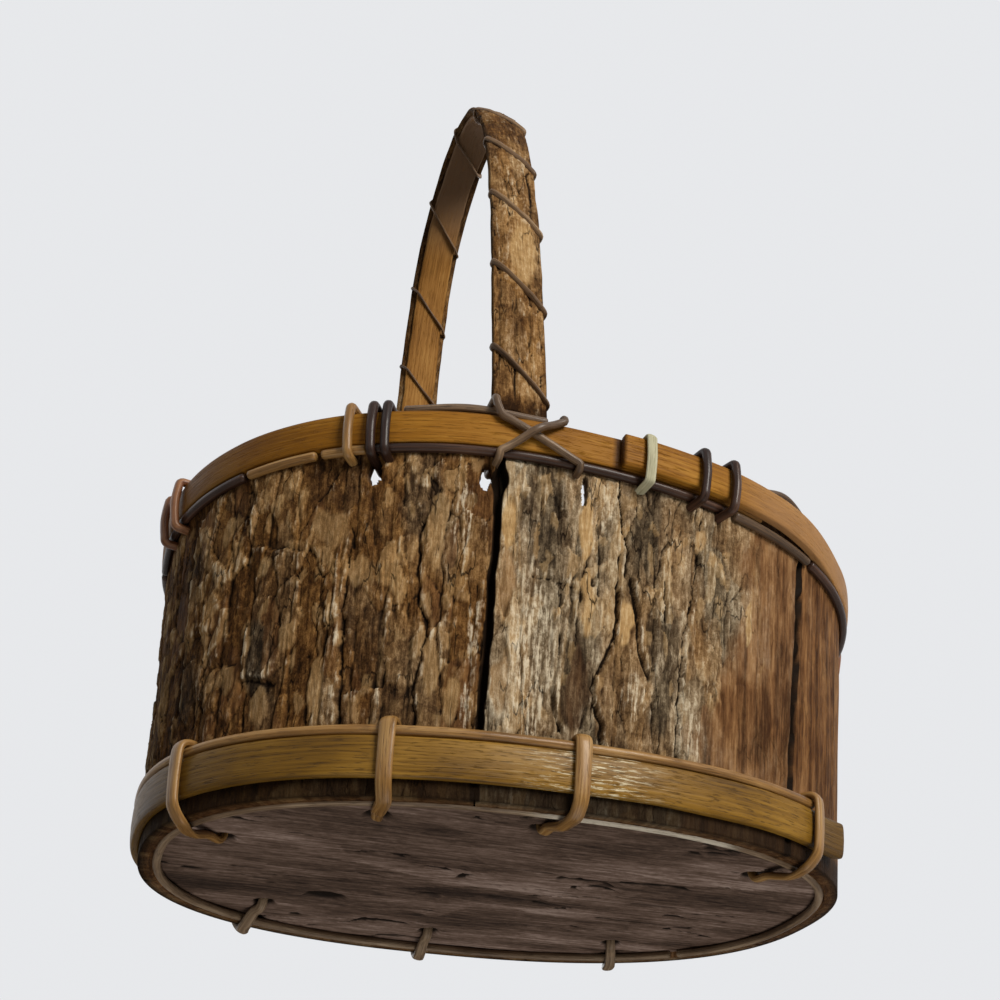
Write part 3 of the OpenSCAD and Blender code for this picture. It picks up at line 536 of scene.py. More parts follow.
# %% Relief of the bark
def rough_bark(s, z, seed, ridges):
    warp_s = s + 0.8 * (2 * layers_of(s / 3, z / 6, seed, 4) - 1)
    warp_z = z + (1 + 6 * ridges) * (2 * layers_of(s / 4, z / 9, seed + 1, 4) - 1)
    seam, slat = cells(warp_s, warp_z, 7.0, 80.0, seed + 2)
    edge, plate = cells(warp_s, warp_z, 5.0, 9 + 24 * ridges, seed + 3)
    rim, flake = cells(warp_s, warp_z, 3.2, 4.5 + 7 * ridges, seed + 4)
    _, chip = cells(warp_s, warp_z, 1.6, 3.2, seed + 9)
    ridge = 1 - np.abs(2 * layers_of(warp_s / 3.2, warp_z / 22, seed + 5, 3) - 1)
    fibre = layers_of(s / 0.9, z / 9, seed + 6, 3) - 0.5
    crust = layers_of(s / 1.4, z / 2.2, seed + 7, 3) - 0.5
    split = smooth(1 - edge / 0.4) * smooth(4 * noise(s / 9, z / 12, seed + 11) - 1.3)
    split += 0.6 * smooth(1 - rim / 0.3) * smooth(4 * noise(s / 6, z / 9, seed + 12) - 1.8)
    level = 0.55 * (slat - 0.5) + 0.85 * (plate - 0.5) + 0.5 * (flake - 0.5) + 0.25 * (chip - 0.5)
    level += ridges * (ridge - 0.6) + 0.3 * fibre + (0.3 + 0.6 * ridges) * crust
    level -= 0.55 * smooth(1 - seam / 0.5) + 0.45 * split
    tone = 0.25 * slat + 0.35 * plate + 0.3 * flake + 0.25 * chip - 0.08
    bare = 0.35 * smooth((plate * 0.6 + flake * 0.6 - 0.86) / 0.1) + 0.3 * smooth((chip - 0.88) / 0.06)
    hue = 0.6 * (7.3 * plate % 1) + 0.4 * (5.2 * slat % 1)
    return level, tone, bare, hue


def grained_bark(s, z, seed):
    fibre = layers_of(s / 1.4, z / 30, seed, 3) - 0.5
    waves = layers_of(s / 7, z / 26, seed + 1, 2) - 0.5
    return 0.5 * fibre + 0.6 * waves - 0.2


def add_cracks(level, pale, s, z, seed):
    for k, (deep, half, step, line) in enumerate(CRACKS + BACK_CRACKS):
        turns, heights = np.array(line, float).T
        jag = 0.55 * wobble(z, seed + k, 3.0) + 0.32 * wobble(z, seed + 50 + k, 0.9)
        away = s - np.interp(z, heights, run_at(turns)) - jag
        inside = smooth((z - heights[0]) / 2 + 0.5) * smooth((heights[-1] - z) / 2 + 0.5)
        side = np.exp(-np.abs(away) / 3.5) * smooth(np.abs(away) / 0.5)
        open_by = half * (0.6 + 0.35 * wobble(z, seed + 70 + k, 5.0))
        level += inside * (step * np.sign(away) * side - deep * np.exp(-(away / open_by) ** 2))
        # painted highlight: a pale strip along the raised side of each crack, carried in the pale mark
        lit = np.exp(-((np.abs(away) - 2.2 * half) / (0.9 * half)) ** 2) * (np.sign(away) == np.sign(step))
        pale += 0.35 * inside * lit * noise(z / 4, k + 0.5, seed + 90)
    for k, (step, line) in enumerate(LEDGES):
        turns, heights = np.array(line, float).T
        ends = run_at(turns)
        jag = 0.7 * wobble(s, seed + 120 + k, 2.5)
        away = z - np.interp(s, ends, heights) - jag
        inside = smooth((s - ends[0]) / 1.2 + 0.5) * smooth((ends[-1] - s) / 1.2 + 0.5)
        level += inside * step * np.sign(away) * np.exp(-np.abs(away) / 4.0)
        level -= inside * 0.8 * abs(step) * np.exp(-(away / 0.4) ** 2)


def add_patches(level, red, pale, s, z, seed):
    for k, (turn, height, half_s, half_z, pale_by, red_by, base) in enumerate(PATCHES):
        ds = (s - run_at(turn) + 0.9 * wobble(z, seed + k, 4.0)) / half_s
        dz = (z - height + 1.4 * wobble(s, seed + 30 + k, 2.0)) / half_z
        torn = 0.9 * (layers_of(s / 1.8, z / 5, seed + 60 + k, 3) - 0.5)
        cover = smooth((1.05 + torn - np.hypot(ds, dz)) / 0.25)
        level += cover * 0.75 * (base - level)
        red += cover * (red_by - red)
        pale += cover * (pale_by - pale)


def add_shades(tone, grey, s, z, seed):
    for turn, height, half_s, half_z, tone_by, grey_by in SHADES:
        torn = 0.8 * (layers_of(s / 2.5, z / 7, seed, 3) - 0.5)
        near = smooth((1.2 + torn - np.hypot((s - run_at(turn)) / half_s, (z - height) / half_z)) / 0.4)
        tone += near * tone_by
        grey += near * grey_by


def add_streaks(hollow, s, z, seed):
    for turn, height, half_s, half_z in STREAKS:
        near = smooth(1.4 - np.hypot((s - run_at(turn)) / half_s, (z - height) / half_z))
        hollow += near * (0.2 + 0.8 * smooth(3.2 * layers_of(s / 0.8, z / 7, seed, 3) - 1.1))


def softened(field, count):
    for axis in (0, 1):
        for _ in range(count):
            edge = np.concatenate([np.take(field, [0], axis), field, np.take(field, [-1], axis)], axis)
            width = field.shape[axis]
            parts = [np.take(edge, range(k, k + width), axis) for k in (0, 1, 2)]
            field = 0.25 * parts[0] + 0.5 * parts[1] + 0.25 * parts[2]
    return field


# painted shade and highlight: the hollow mark is how far the relief lies below or above its blurred self;
# the finishes darken low values and the bark finish lightens high ones
def hollow_of(level):
    return np.clip(0.5 + 0.6 * (level - softened(level, 14)) + 0.1 * level, 0, 1)


# %% One slab of bark
GAP_LEFT, GAP_RIGHT, GAP_BACK_RIGHT, GAP_BACK = 165.0, 306.3, 375.0, 435.0
GAP_FRONT = 258.0
GAP_EYE, EDGE_LAP = 71.5, 0.2
BACK_ROWS, TALL, FINE_FROM = 10, 1.7, 0.78
GROOVES = {GAP_FRONT: 0.6, GAP_RIGHT: 0.8}

# Holes that the lashings were pulled through: angle, height, half width and half height in mm
EYES = [(239.3, 72.0, 1.6, 3.6), (256.2, 72.0, 1.3, 3.4), (268.8, 72.0, 0.9, 4.0)]


def slab_marks(t, s, z, seed, ridges, greyness):
    level, tone, bare, hue = rough_bark(s, z, seed, ridges)
    grey = np.clip(greyness + 0.8 * (hue - 0.5) + 0.6 * (noise(s / 9, z / 14, seed + 16) - 0.5), 0, 1)
    red = 0.5 * smooth((0.3 - 3.7 * hue % 1) / 0.1) * (1 - greyness)
    pale = bare
    heights, turns = np.array(INNER_EDGE, float).T
    ragged = 1.5 * wobble(z, seed + 9, 5.0) + 0.8 * wobble(s, seed + 10, 3.0)
    line = run_at(np.interp(z, heights, turns)) + ragged
    inner = smooth((s - line) / 7.0 + 1.1 - 1.2 * noise(s / 4, z / 11, seed + 15))
    inner = inner * (t < GAP_BACK_RIGHT + 3)
    level += inner * (grained_bark(s, z, seed + 20) - level)
    red += inner * (0.8 - red)
    pale *= 1 - inner
    add_cracks(level, pale, s, z, seed + 200)
    if t.min() < GAP_RIGHT - 2:
        add_patches(level, red, pale, s, z, seed + 400)
        add_shades(tone, grey, s, z, seed + 500)
    return level, tone, red, np.clip(pale, 0, 1), np.clip(grey, 0, 1)


def slab_grid(start, stop, step, lean_start, lean_stop):
    outer = np.linspace(0, 1, int(rim_top((start + stop) / 2) / (TALL * step)) + 1)
    fine = outer[outer > FINE_FROM][::-1]
    inner = np.concatenate([fine, np.linspace(fine[-1], 0, BACK_ROWS)[1:]])
    share = np.concatenate([inner, outer, inner[:1]])[None, :]
    outside = np.concatenate([np.zeros(len(inner)), np.ones(len(outer)), [0.0]])[None, :]
    count = int((run_at(stop) - run_at(start)) / step)
    across = np.linspace(0, 1, count + 1)[:, None]
    guess = turn_at_run(run_at(start) + across * (run_at(stop) - run_at(start)))
    z = BARK_Z + (rim_top(guess) - BARK_DROP - BARK_Z) * share
    open_eye = 1.1 * np.exp(-(((z - GAP_EYE) / 2.6) ** 2))
    ends = [
        run_at(start) - EDGE_LAP + open_eye * (start == GAP_FRONT),
        run_at(stop) + EDGE_LAP - open_eye * (stop == GAP_FRONT),
    ]
    ends[0] = ends[0] + lean_start * (z / 40 - 1) + 0.5 * wobble(z, int(start), 6.0)
    ends[1] = ends[1] + lean_stop * (z / 40 - 1) + 0.5 * wobble(z, int(stop), 6.0)
    return ends[0] + (ends[1] - ends[0]) * across, z, ends, outside


def slab_eyes(t, s, z):
    eyes = []
    for turn, height, half_s, half_z in EYES:
        if t.min() < turn < t.max():
            hit = np.hypot((s - run_at(turn)) / half_s, (z - height) / half_z)
            middle = (hit[1:, 1:] + hit[:-1, 1:] + hit[1:, :-1] + hit[:-1, :-1]) / 4
            eyes.append(middle < 1)
    return eyes


def bark_slab(node, start, stop, seed, step, ridges, greyness, leans=(0.0, 0.0), darker=0.0):
    s, z, ends, outside = slab_grid(start, stop, step, *leans)
    t = turn_at_run(s)
    level, tone, red, pale, grey = slab_marks(t, s, z, seed, ridges, greyness)
    hollow = hollow_of(level)
    add_streaks(hollow, s, z, seed + 12)
    level *= smooth((z - FOOT_BAND) / 1.6) * smooth((rim_top(t) - RIM_BAND - z) / 1.6)
    away = np.minimum(s - ends[0], ends[1] - s)
    groove = np.where(s - ends[0] < ends[1] - s, GROOVES.get(start, 0.5), GROOVES.get(stop, 0.5))
    past = away - groove * (1 + 0.6 * wobble(z, seed + 11, 5.0))
    broken = (1 - smooth(past / 0.4)) * smooth((z - 4) / 3)
    # painted shade: near-black along the slab's edges, in the gap between slabs
    dark = 1 - smooth((past - 0.35) / 0.4)
    face = BARK_IN - 0.25 - 0.75 * level
    face += (BARK_BACK - 0.35 - face) * broken
    back = BARK_BACK + 0.25 * (layers_of(s / 1.2, z / 18, seed + 30, 3) - 0.5)
    depth = np.where(outside > 0, face, back)
    # painted shade: the hollow mark sinks towards dark below 6 mm, under the foot hoop
    hollow = 0.1 + (np.clip(hollow, 0, 1) - 0.1) * smooth((z - 6) / 4)
    # darker towards the left end: the left slab's own darker brown, with painted shade on the side turned
    # away from the key lamp
    marks = {
        "tone": tone - darker - 0.25 * smooth((232 - t) / 36),
        "hollow": np.where(outside > 0, hollow * (1 - 0.97 * dark), 0.5),
        "red": np.where(outside > 0, red, 0.9),
        "pale": np.where(outside > 0, pale, 0.0),
        "grey": grey,
    }
    uv = np.stack(np.broadcast_arrays(s, z + 200 * (1 - outside)), axis=-1)
    add_piece(node, skin(wall(t, z, depth), uv, marks, slab_eyes(t, s, z)), bark_outside)


# %% The five slabs
bark_slab("bark_front_left", GAP_LEFT, GAP_FRONT, 11, 0.33, 0.15, 0.14, (0.0, 0.6), 0.24)
bark_slab("bark_front_right", GAP_FRONT, GAP_RIGHT, 23, 0.27, 0.5, 0.8, (0.6, 1.6), -0.1)
bark_slab("bark_right_end", GAP_RIGHT, GAP_BACK_RIGHT, 37, 0.36, 0.1, 0.2, (1.6, 0.0), 0.2)
bark_slab("bark_back_right", GAP_BACK_RIGHT, GAP_BACK, 53, 0.5, 0.4, 0.5)
bark_slab("bark_back_left", GAP_BACK, GAP_LEFT + 360, 71, 0.5, 0.15, 0.35)

# %% [markdown]
# ## Base plate
#
# The base is a thin dark sheet of bark, its grain along the basket, cracked and pitted where the ties go
# in. A grid pressed into the oval gives even faces, and extruding it makes the thickness and the edge in one
# step.

# %% Base finish
def base_finish():
    f = Finish(bpy.data.materials.new("dark_base_bark"))
    hollow, tone = f.mark("hollow"), f.mark("tone")
    fibre = f.grain((0.10, 1.1), 5.0, 0.62)
    crumb = f.grain((0.5, 0.9), 6.0, 0.7, 13.0)
    dust = f.grain((0.035, 0.07), 3.0, 0.5, 29.0)
    value = 0.75 * fibre + 0.4 * crumb + 0.4 * dust + (tone - 0.5) * 0.8 - 0.27
    colour = f.ramp(value, [
        (0.2, (0.030, 0.018, 0.013)), (0.45, (0.092, 0.057, 0.040)),
        (0.65, (0.176, 0.117, 0.090)), (0.85, (0.32, 0.235, 0.195)),
    ])
    # painted shade: where the hollow mark is low, in fissures and pits, the colour turns near-black
    colour = f.mix(f.spread(hollow, 0.1, 0.45), CRACK_AND_SHADE_BARK, colour)
    roughness = 0.72 + (crumb - 0.5) * 0.3
    return f.surface(colour, roughness, fibre + 0.7 * crumb, 0.22, specular=0.12)


PLATE_Z, PLATE_T = 3.45, 2.4
TIES = [
    ("tie_front_left", 205.5, 194.0, 16.0), ("tie_front_mid", 245.3, 240.0, 16.0),
    ("tie_front_right", 269.6, 268.5, 17.0), ("tie_right", 310.5, 320.0, 17.0),
    ("tie_back_right", 418.0, 414.0, 15.0), ("tie_back_mid", 451.6, 453.0, 16.0),
    ("tie_back_left", 486.0, 495.0, 16.0),
]


# %% Plate in the oval
# Pits in the plate, recessed and painted dark as shade: middle, half length and half width in mm
PITS = [(-38.5, 19.5, 3.6, 2.2), (-16.0, 10.5, 2.4, 1.0), (36.0, 1.5, 5.0, 0.6), (15.0, 26.0, 6.0, 0.6)]


def oval_grid(count_x, count_y, edge):
    a, b = np.meshgrid(np.linspace(-1, 1, count_x + 1), np.linspace(-1, 1, count_y + 1), indexing="ij")
    u, v = a * np.sqrt(1 - b * b / 2), b * np.sqrt(1 - a * a / 2)
    radius = np.maximum(np.hypot(u, v), 1e-9)
    turn = np.degrees(np.arctan2(v, u))
    rim = wall(turn, PLATE_Z, edge + 0.6 * wobble(turn, 301, 12.0))
    centre = np.array([lean(PLATE_Z), 0.0, 0.0])
    flat = centre + (rim - centre) * radius[..., None]
    return flat[..., 0], flat[..., 1]


def plate_relief(x, y, seed):
    warp_y = y + 1.6 * (2 * layers_of(x / 30, y / 6, seed, 4) - 1)
    grain = layers_of(x / 40, warp_y / 3.0, seed + 1, 4)
    fissure = smooth((np.abs(2 * layers_of(x / 34, warp_y / 5, seed + 2, 3) - 1) - 0.02) / 0.06)
    open_here = smooth(5 * noise(x / 16, y / 5, seed + 3) - 2.3)
    _, plate = cells(x, warp_y, 38.0, 8.0, seed + 4)
    level = 0.9 * (grain - 0.5) + 0.3 * (plate - 0.5) - 1.1 * (1 - fissure) * open_here
    return level, 0.7 * layers_of(x / 45, warp_y / 7, seed + 5, 3) + 0.3 * plate


def base_plate():
    x, y = oval_grid(250, 170, BARK_BACK + 0.3)
    level, tone = plate_relief(x, y, 311)
    pit = np.zeros_like(level)
    holes = [(*wall(turn, PLATE_Z, inset)[:2], 2.0, 2.0) for _, _, turn, inset in TIES]
    for hole_x, hole_y, half_x, half_y in holes + PITS:
        ragged = 0.3 * (layers_of(x / 2, y / 1.2, 341, 3) - 0.5)
        pit = np.maximum(pit, smooth(1.7 + ragged - np.hypot((x - hole_x) / half_x, (y - hole_y) / half_y)))
    z = PLATE_Z - 0.15 - 0.55 * np.minimum(level, 0.5) + 1.2 * pit
    # painted shade: the hollow mark is lowest in the fissures and in the pits, which are recesses
    hollow = hollow_of(level) * (1 - pit)
    points = np.stack([x, y, z], axis=-1)
    bm = skin(points, np.stack([x, y], axis=-1), {"tone": tone, "hollow": hollow}, filled=False)
    sheet = bmesh.ops.extrude_face_region(bm, geom=bm.faces[:])["geom"]
    tops = [part for part in sheet if isinstance(part, bmesh.types.BMVert)]
    place = np.array([vert.co for vert in tops]) / MM
    upper, _ = plate_relief(place[:, 0], place[:, 1], 331)
    for vert, rise in zip(tops, upper):
        vert.co.z = (PLATE_Z + PLATE_T + 0.35 * rise) * MM
    bmesh.ops.recalc_face_normals(bm, faces=bm.faces)
    add_piece("base_plate", bm, base_finish())


base_plate()

# %% [markdown]
# ## Bamboo and cane finishes
#
# Split bamboo and cane both show straight fibres along their length, with a thin varnish on top. One recipe
# serves for all of them: streaks stretched along the piece, slow changes of tone, fine dark pores, and
# three colours for each kind. Two marks on the mesh say where the varnish has lifted and where painted shade
# darkens the colour: on the left side, turned away from the key lamp, and as a shadow beside the lap's end;
# the same mark also darkens the foot hoop's right end.

# %% Cane finish
def cane_finish(name, colours, roughness, coat, pores=0.5, flakes=None, cover=(0.53, 0.63), shine=0.22):
    dark = colours[0]
    f = Finish(bpy.data.materials.new(name))
    streak = f.grain((1.7, 0.035), 4.0, 0.6)
    blotch = f.grain((0.10, 0.045), 3.0, 0.5, 11.0)
    pore = f.spread(f.grain((3.2, 0.22), 3.0, 0.6, 23.0), 0.56, 0.72)
    colour = f.ramp(streak * 0.55 + blotch * 0.55 - 0.05, list(zip((0.25, 0.5, 0.75), colours)))
    colour = f.mix(pore * pores, colour, dark)
    # painted shade: the dull mark darkens the colour towards half of its darkest colour
    colour = f.mix(f.mark("dull") * 0.6, colour, tuple(0.5 * part for part in dark))
    if flakes:
        lifted = f.mark("lifted") * f.spread(f.grain((1.8, 0.16), 5.0, 0.75, 47.0), *cover)
        colour = f.mix(lifted, colour, flakes)
    rough = roughness + (blotch - 0.5) * 0.2 + pore * 0.1
    return f.surface(colour, rough, streak - pore * 0.5, 0.13, coat, 0.22, shine)


rim_bamboo = cane_finish(
    "rim_bamboo", [(0.105, 0.036, 0.003), (0.27, 0.112, 0.0095), (0.42, 0.205, 0.030)],
    0.5, 0.0, flakes=(0.33, 0.18, 0.078), cover=(0.25, 0.45), shine=0.1,
)
core_bamboo = cane_finish(
    "core_bamboo", [(0.11, 0.044, 0.008), (0.275, 0.126, 0.028), (0.42, 0.22, 0.062)],
    0.55, 0.0, flakes=(0.25, 0.152, 0.085), cover=(0.15, 0.45), shine=0.06,
)
foot_bamboo = cane_finish(
    "foot_bamboo", [(0.060, 0.027, 0.003), (0.20, 0.100, 0.0105), (0.34, 0.188, 0.030)],
    0.45, 0.06, 0.75, flakes=(0.70, 0.62, 0.42), shine=0.16,
)
tan_cane = cane_finish(
    "tan_cane", [(0.100, 0.044, 0.011), (0.265, 0.135, 0.036), (0.48, 0.295, 0.115)],
    0.45, 0.25,
)
dark_cane = cane_finish(
    "dark_cane", [(0.009, 0.004, 0.0026), (0.030, 0.0128, 0.0075), (0.10, 0.048, 0.027)],
    0.45, 0.3, 0.3, shine=0.1,
)
ring_cane = cane_finish(
    "ring_cane", [(0.060, 0.037, 0.021), (0.18, 0.117, 0.068), (0.38, 0.28, 0.18)],
    0.5, 0.05, flakes=(0.60, 0.53, 0.42), cover=(0.3, 0.5),
)
wrap_cane = cane_finish(
    "wrap_cane", [(0.060, 0.033, 0.016), (0.18, 0.106, 0.054), (0.36, 0.24, 0.13)],
    0.5, 0.08,
)
red_cane = cane_finish(
    "red_cane", [(0.05, 0.016, 0.006), (0.16, 0.055, 0.019), (0.36, 0.175, 0.075)],
    0.4, 0.25,
)
pale_bast = cane_finish(
    "pale_bast", [(0.24, 0.22, 0.13), (0.44, 0.42, 0.28), (0.66, 0.65, 0.50)],
    0.6, 0.0, 0.25,
)
weathered_cane = cane_finish(
    "weathered_cane", [(0.030, 0.017, 0.009), (0.105, 0.062, 0.033), (0.26, 0.170, 0.095)],
    0.45, 0.2,
)
print("cane finishes made")

# %% [markdown]
# ## Hoops and straight canes
#
# A hoop is a flat strip with rounded corners that follows the oval, a little wavy because it was split by
# hand. The canes beside the hoops are round. Both come from one section carried round the wall.

# %% Sections and stations
def section(count, power):
    turn = np.linspace(0, 2 * np.pi, count + 1)
    a, b = np.cos(turn), np.sin(turn)
    return np.sign(a) * np.abs(a) ** (2 / power), np.sign(b) * np.abs(b) ** (2 / power)


def stations(length, step):
    body = np.linspace(0.9, length - 0.9, max(3, int(length / step)))
    return np.concatenate([[0.0, 0.12, 0.4], body, [length - 0.4, length - 0.12, length]])


def blunt(at, edge=0.5, keep=0.6):
    inset = 1 - np.clip(np.minimum(at, at[-1] - at) / edge, 0, 1)
    return 1 - (1 - keep) * inset**2.5


def girth_of(points):
    middle = points[:, points.shape[1] // 2]
    return np.concatenate([[0.0], np.cumsum(np.linalg.norm(np.diff(middle, axis=0), axis=1))])


def surface_uv(points, run, shift):
    around, along = np.meshgrid(girth_of(points) + shift, run + 3 * shift, indexing="ij")
    return np.stack([around, along], axis=-1)


def wear_and_painted_shade(t, edges):
    turn = t % 360
    lifted = np.exp(-(((t - 271.0) / 5.5) ** 2))
    # painted shade on the left side, turned away from the key lamp
    dull = 0.9 * smooth((252 - turn) / 50) * (turn > 120)
    if edges is foot_edges:
        # darker at the foot hoop's right end
        dull += smooth((turn - 304) / 14) * (turn < 325)
    if edges is outer_edges:
        # painted shadow at the lap's end and beside it
        lap_end = smooth(1.2 - (t - LAP_FROM) / 0.3)
        beside_lap = smooth(1.4 - np.abs(t - LAP_FROM - 359.9) / 0.5)
        dull += 1.6 * lap_end + 1.6 * beside_lap
        lifted = 0.75 * smooth((turn - 283) / 14) * (turn < 345)
    return lifted, dull


def band(node, finish, turns, edges, seed, crown=0.22):
    length = run_at(turns[1]) - run_at(turns[0])
    at = stations(length, 1.1)
    t = turn_at_run(run_at(turns[0]) + at)
    low, high, face, back = edges(t)
    a, b = (side[:, None] for side in section(32, 6.0))
    end = blunt(at)
    sway = 0.22 * wobble(at, seed, 28.0)
    half = (high - low) / 2 * (1 + 0.025 * wobble(at, seed + 1, 19.0)) * (0.4 + 0.6 * end)
    z = (low + high) / 2 + sway + half * b
    depth = (face + back) / 2 + (back - face) / 2 * a * end - crown * (1 - b * b) * (a < 0)
    points = wall(t, z, depth + 0.06 * wobble(at, seed + 2, 9.0))
    lifted, dull = wear_and_painted_shade(t, edges)
    marks = {"lifted": lifted + 0 * z, "dull": dull + 0 * z}
    add_piece(node, skin(points, surface_uv(points, at, seed), marks), finish)


# %% Rim and foot hoops
RIM_HOOP, INNER_HOOP, FOOT_HOOP, HOOP_Z = 8.0, 7.8, 7.8, 4.95
LAP_FROM, LAP_TO, LAP_RAMP = 271.5, 295.0, (297.0, 322.0)
LAP_OUT = HOOP_T + SEAT


def lap_rise(t):
    return LAP_OUT * smooth((LAP_RAMP[1] - t) / (LAP_RAMP[1] - LAP_RAMP[0]))


def outer_edges(t):
    return rim_top(t) - RIM_HOOP, rim_top(t), -lap_rise(t), HOOP_T - lap_rise(t)


def inner_edges(t):
    return rim_top(t) - INNER_HOOP, rim_top(t), INNER_IN, INNER_BACK


def foot_edges(t):
    out = 2.0 * (np.maximum(t - 313.0, 0) / 9.0) ** 2
    return HOOP_Z + 0 * t, HOOP_Z + FOOT_HOOP + 0 * t, -out, HOOP_T - out


band("rim_outer_hoop", rim_bamboo, (LAP_FROM, LAP_TO + 360), outer_edges, 401)
band("rim_inner_hoop", rim_bamboo, (70.5, 429.5), inner_edges, 411, 0.0)
band("foot_hoop_front", foot_bamboo, (160.0, 321.0), foot_edges, 421)
band("foot_hoop_back", foot_bamboo, (31.0, 129.0), foot_edges, 431)

# %% Canes round the oval
RIM_CANE_D, TOP_CANE_D, FOOT_CANE_D, BASE_RING_D = 1.9, 1.8, 2.0, 1.8
RIM_CANE_DROP, FOOT_CANE_Z, BASE_RING_Z = 9.1, 13.9, 2.4
HANDLE_X, LASH_D = -17.0, 1.8
LEG_FRONT = 360 - turn_at(HANDLE_X, RIM_H, 0)
FRONT_STRETCH = (LEG_FRONT - 18, LEG_FRONT + 2.5)
FRONT_TIE = TIES[2][1]


def round_cane(node, finish, turns, line, diameter, seed):
    length = run_at(turns[1]) - run_at(turns[0])
    at = stations(length, 0.9)
    t = turn_at_run(run_at(turns[0]) + at)
    z, depth = line(t)
    a, b = (side[:, None] for side in section(16, 2.0))
    r = diameter / 2 * (1.06 + 0.05 * wobble(at, seed, 14.0)) * blunt(at, 0.45, 0.55)
    points = wall(t, z + 0.08 * wobble(at, seed + 1, 17.0) + r * b, depth - r * a)
    marks = {"lifted": smooth((t - 264) / 5) * smooth((298 - t) / 6) + 0 * points[..., 0]}
    add_piece(node, skin(points, surface_uv(points, at, seed), marks), finish)


def under_rim(t):
    return rim_top(t) - RIM_CANE_DROP, HOOP_T - RIM_CANE_D / 2 + 0 * t


def over_foot(t):
    return FOOT_CANE_Z + 0 * t, HOOP_T - FOOT_CANE_D / 2 + 0 * t


def round_base(t):
    return BASE_RING_Z + 0 * t, INNER_IN + BASE_RING_D / 2 + 0 * t


def on_rim_edge(t):
    bow = np.sin(np.pi * np.clip((t - LEG_FRONT + 18) / 20.5, 0, 1)) ** 2
    spring = 3.0 * np.sin(np.pi * np.clip((t - 293) / 17, 0, 1)) ** 2
    return rim_top(t) + TOP_CANE_D / 2 + bow + spring, 0.75 * HOOP_T + 0 * t


CANES = [
    ("rim_cane_left", dark_cane, 176, 214.2, under_rim, RIM_CANE_D, "dark_cane"),
    ("rim_cane_tan", tan_cane, 215, 229.3, under_rim, RIM_CANE_D, "tan_cane"),
    ("rim_cane_short", tan_cane, 230.3, 238, under_rim, RIM_CANE_D, "tan_cane"),
    ("rim_cane_dark", dark_cane, 238.8, 288.6, under_rim, RIM_CANE_D, "dark_cane"),
    ("rim_cane_right", weathered_cane, 289.4, 308.4, under_rim, RIM_CANE_D, "tan_cane"),
    ("rim_cane_back_right", dark_cane, 309.2, 449, under_rim, RIM_CANE_D, "dark_cane"),
    ("rim_cane_back_left", dark_cane, 450, 535, under_rim, RIM_CANE_D, "dark_cane"),
    ("rim_top_cane_front", weathered_cane, *FRONT_STRETCH, on_rim_edge, TOP_CANE_D, "tan_cane"),
    ("rim_top_cane_right", weathered_cane, 293, 310, on_rim_edge, TOP_CANE_D, "tan_cane"),
    ("foot_cane_left", tan_cane, 163, FRONT_TIE - 0.25, over_foot, FOOT_CANE_D, "tan_cane"),
    ("foot_cane_right", tan_cane, FRONT_TIE + 0.25, 311, over_foot, FOOT_CANE_D, "tan_cane"),
    ("foot_cane_back", tan_cane, 34, 127, over_foot, FOOT_CANE_D, "tan_cane"),
    ("base_ring", ring_cane, 41, 399, round_base, BASE_RING_D, "tan_cane"),
]
for k, (node, finish, first, last, line, diameter, slot) in enumerate(CANES):
    round_cane(node, finish, (first, last), line, diameter, 500 + 7 * k)

# %% [markdown]
# ## Ties and lashings
#
# Each tie and each lashing is one cane that was soaked, pulled through holes in the bark and bent round the
# hoops. Its route is a list of points in the wall's own terms, a smooth curve is laid through them, and a
# round or flattened section is carried along the curve without twisting.

# %% Tube along a curve
def curve_through(points, step):
    points = np.asarray(points, float)
    gaps = np.linalg.norm(np.diff(points, axis=0), axis=1)
    points = points[np.concatenate([[True], gaps > 1e-4])]
    knots = np.concatenate([[0.0], np.cumsum(np.sqrt(np.linalg.norm(np.diff(points, axis=0), axis=1)))])
    slope = np.gradient(points, knots, axis=0)
    u = np.linspace(0, knots[-1], 40 * len(points))
    i = np.clip(np.searchsorted(knots, u, side="right") - 1, 0, len(knots) - 2)
    h = (knots[i + 1] - knots[i])[:, None]
    x = ((u - knots[i]) / (knots[i + 1] - knots[i]))[:, None]
    line = (2 * x**3 - 3 * x**2 + 1) * points[i] + (x**3 - 2 * x**2 + x) * h * slope[i]
    line += (3 * x**2 - 2 * x**3) * points[i + 1] + (x**3 - x**2) * h * slope[i + 1]
    run = np.concatenate([[0.0], np.cumsum(np.linalg.norm(np.diff(line, axis=0), axis=1))])
    at = stations(run[-1], step)
    return np.stack([np.interp(at, run, line[:, k]) for k in range(3)], axis=-1), at


def tube(
    node, finish, route, hint, wide, thick, seed, power=2.0, step=0.45, low=-1.0, taper=1.0, stain=0.0
):
    path, at = curve_through(route, step)
    way = np.gradient(path, axis=0)
    way /= np.linalg.norm(way, axis=1)[:, None]
    broad = np.empty_like(path)
    carried = np.asarray(hint, float)
    for k, w in enumerate(way):
        carried = carried - carried.dot(w) * w
        carried = carried / np.linalg.norm(carried)
        broad[k] = carried
    flat = np.cross(way, broad)
    a, b = (side[:, None, None] for side in section(16, power))
    size = (0.5 * blunt(at, 0.45, 0.6) * (1 + 0.05 * wobble(at, seed, 6.0)))[None, :, None]
    wide = wide * (1 + (taper - 1) * (at / at[-1]) ** 2)[None, :, None]
    points = path + wide * size * a * broad + thick * size * b * flat
    points[..., 2] = np.maximum(points[..., 2], low)
    marks = {"lifted": smooth((stain - np.abs(at / at[-1] - 0.5)) / 0.06) + 0 * points[..., 0]}
    add_piece(node, skin(points, surface_uv(points, at, seed), marks), finish)


def bend(s, depth, drop, r, start, stop, steps=5):
    f = np.radians(np.linspace(start, stop, steps + 1))
    return [(s, depth - r * np.cos(g), drop - r * np.sin(g)) for g in f]


# %% Ties of the foot
TIE_W, TIE_T, BEND_ROOM = 3.4, 1.6, 0.1


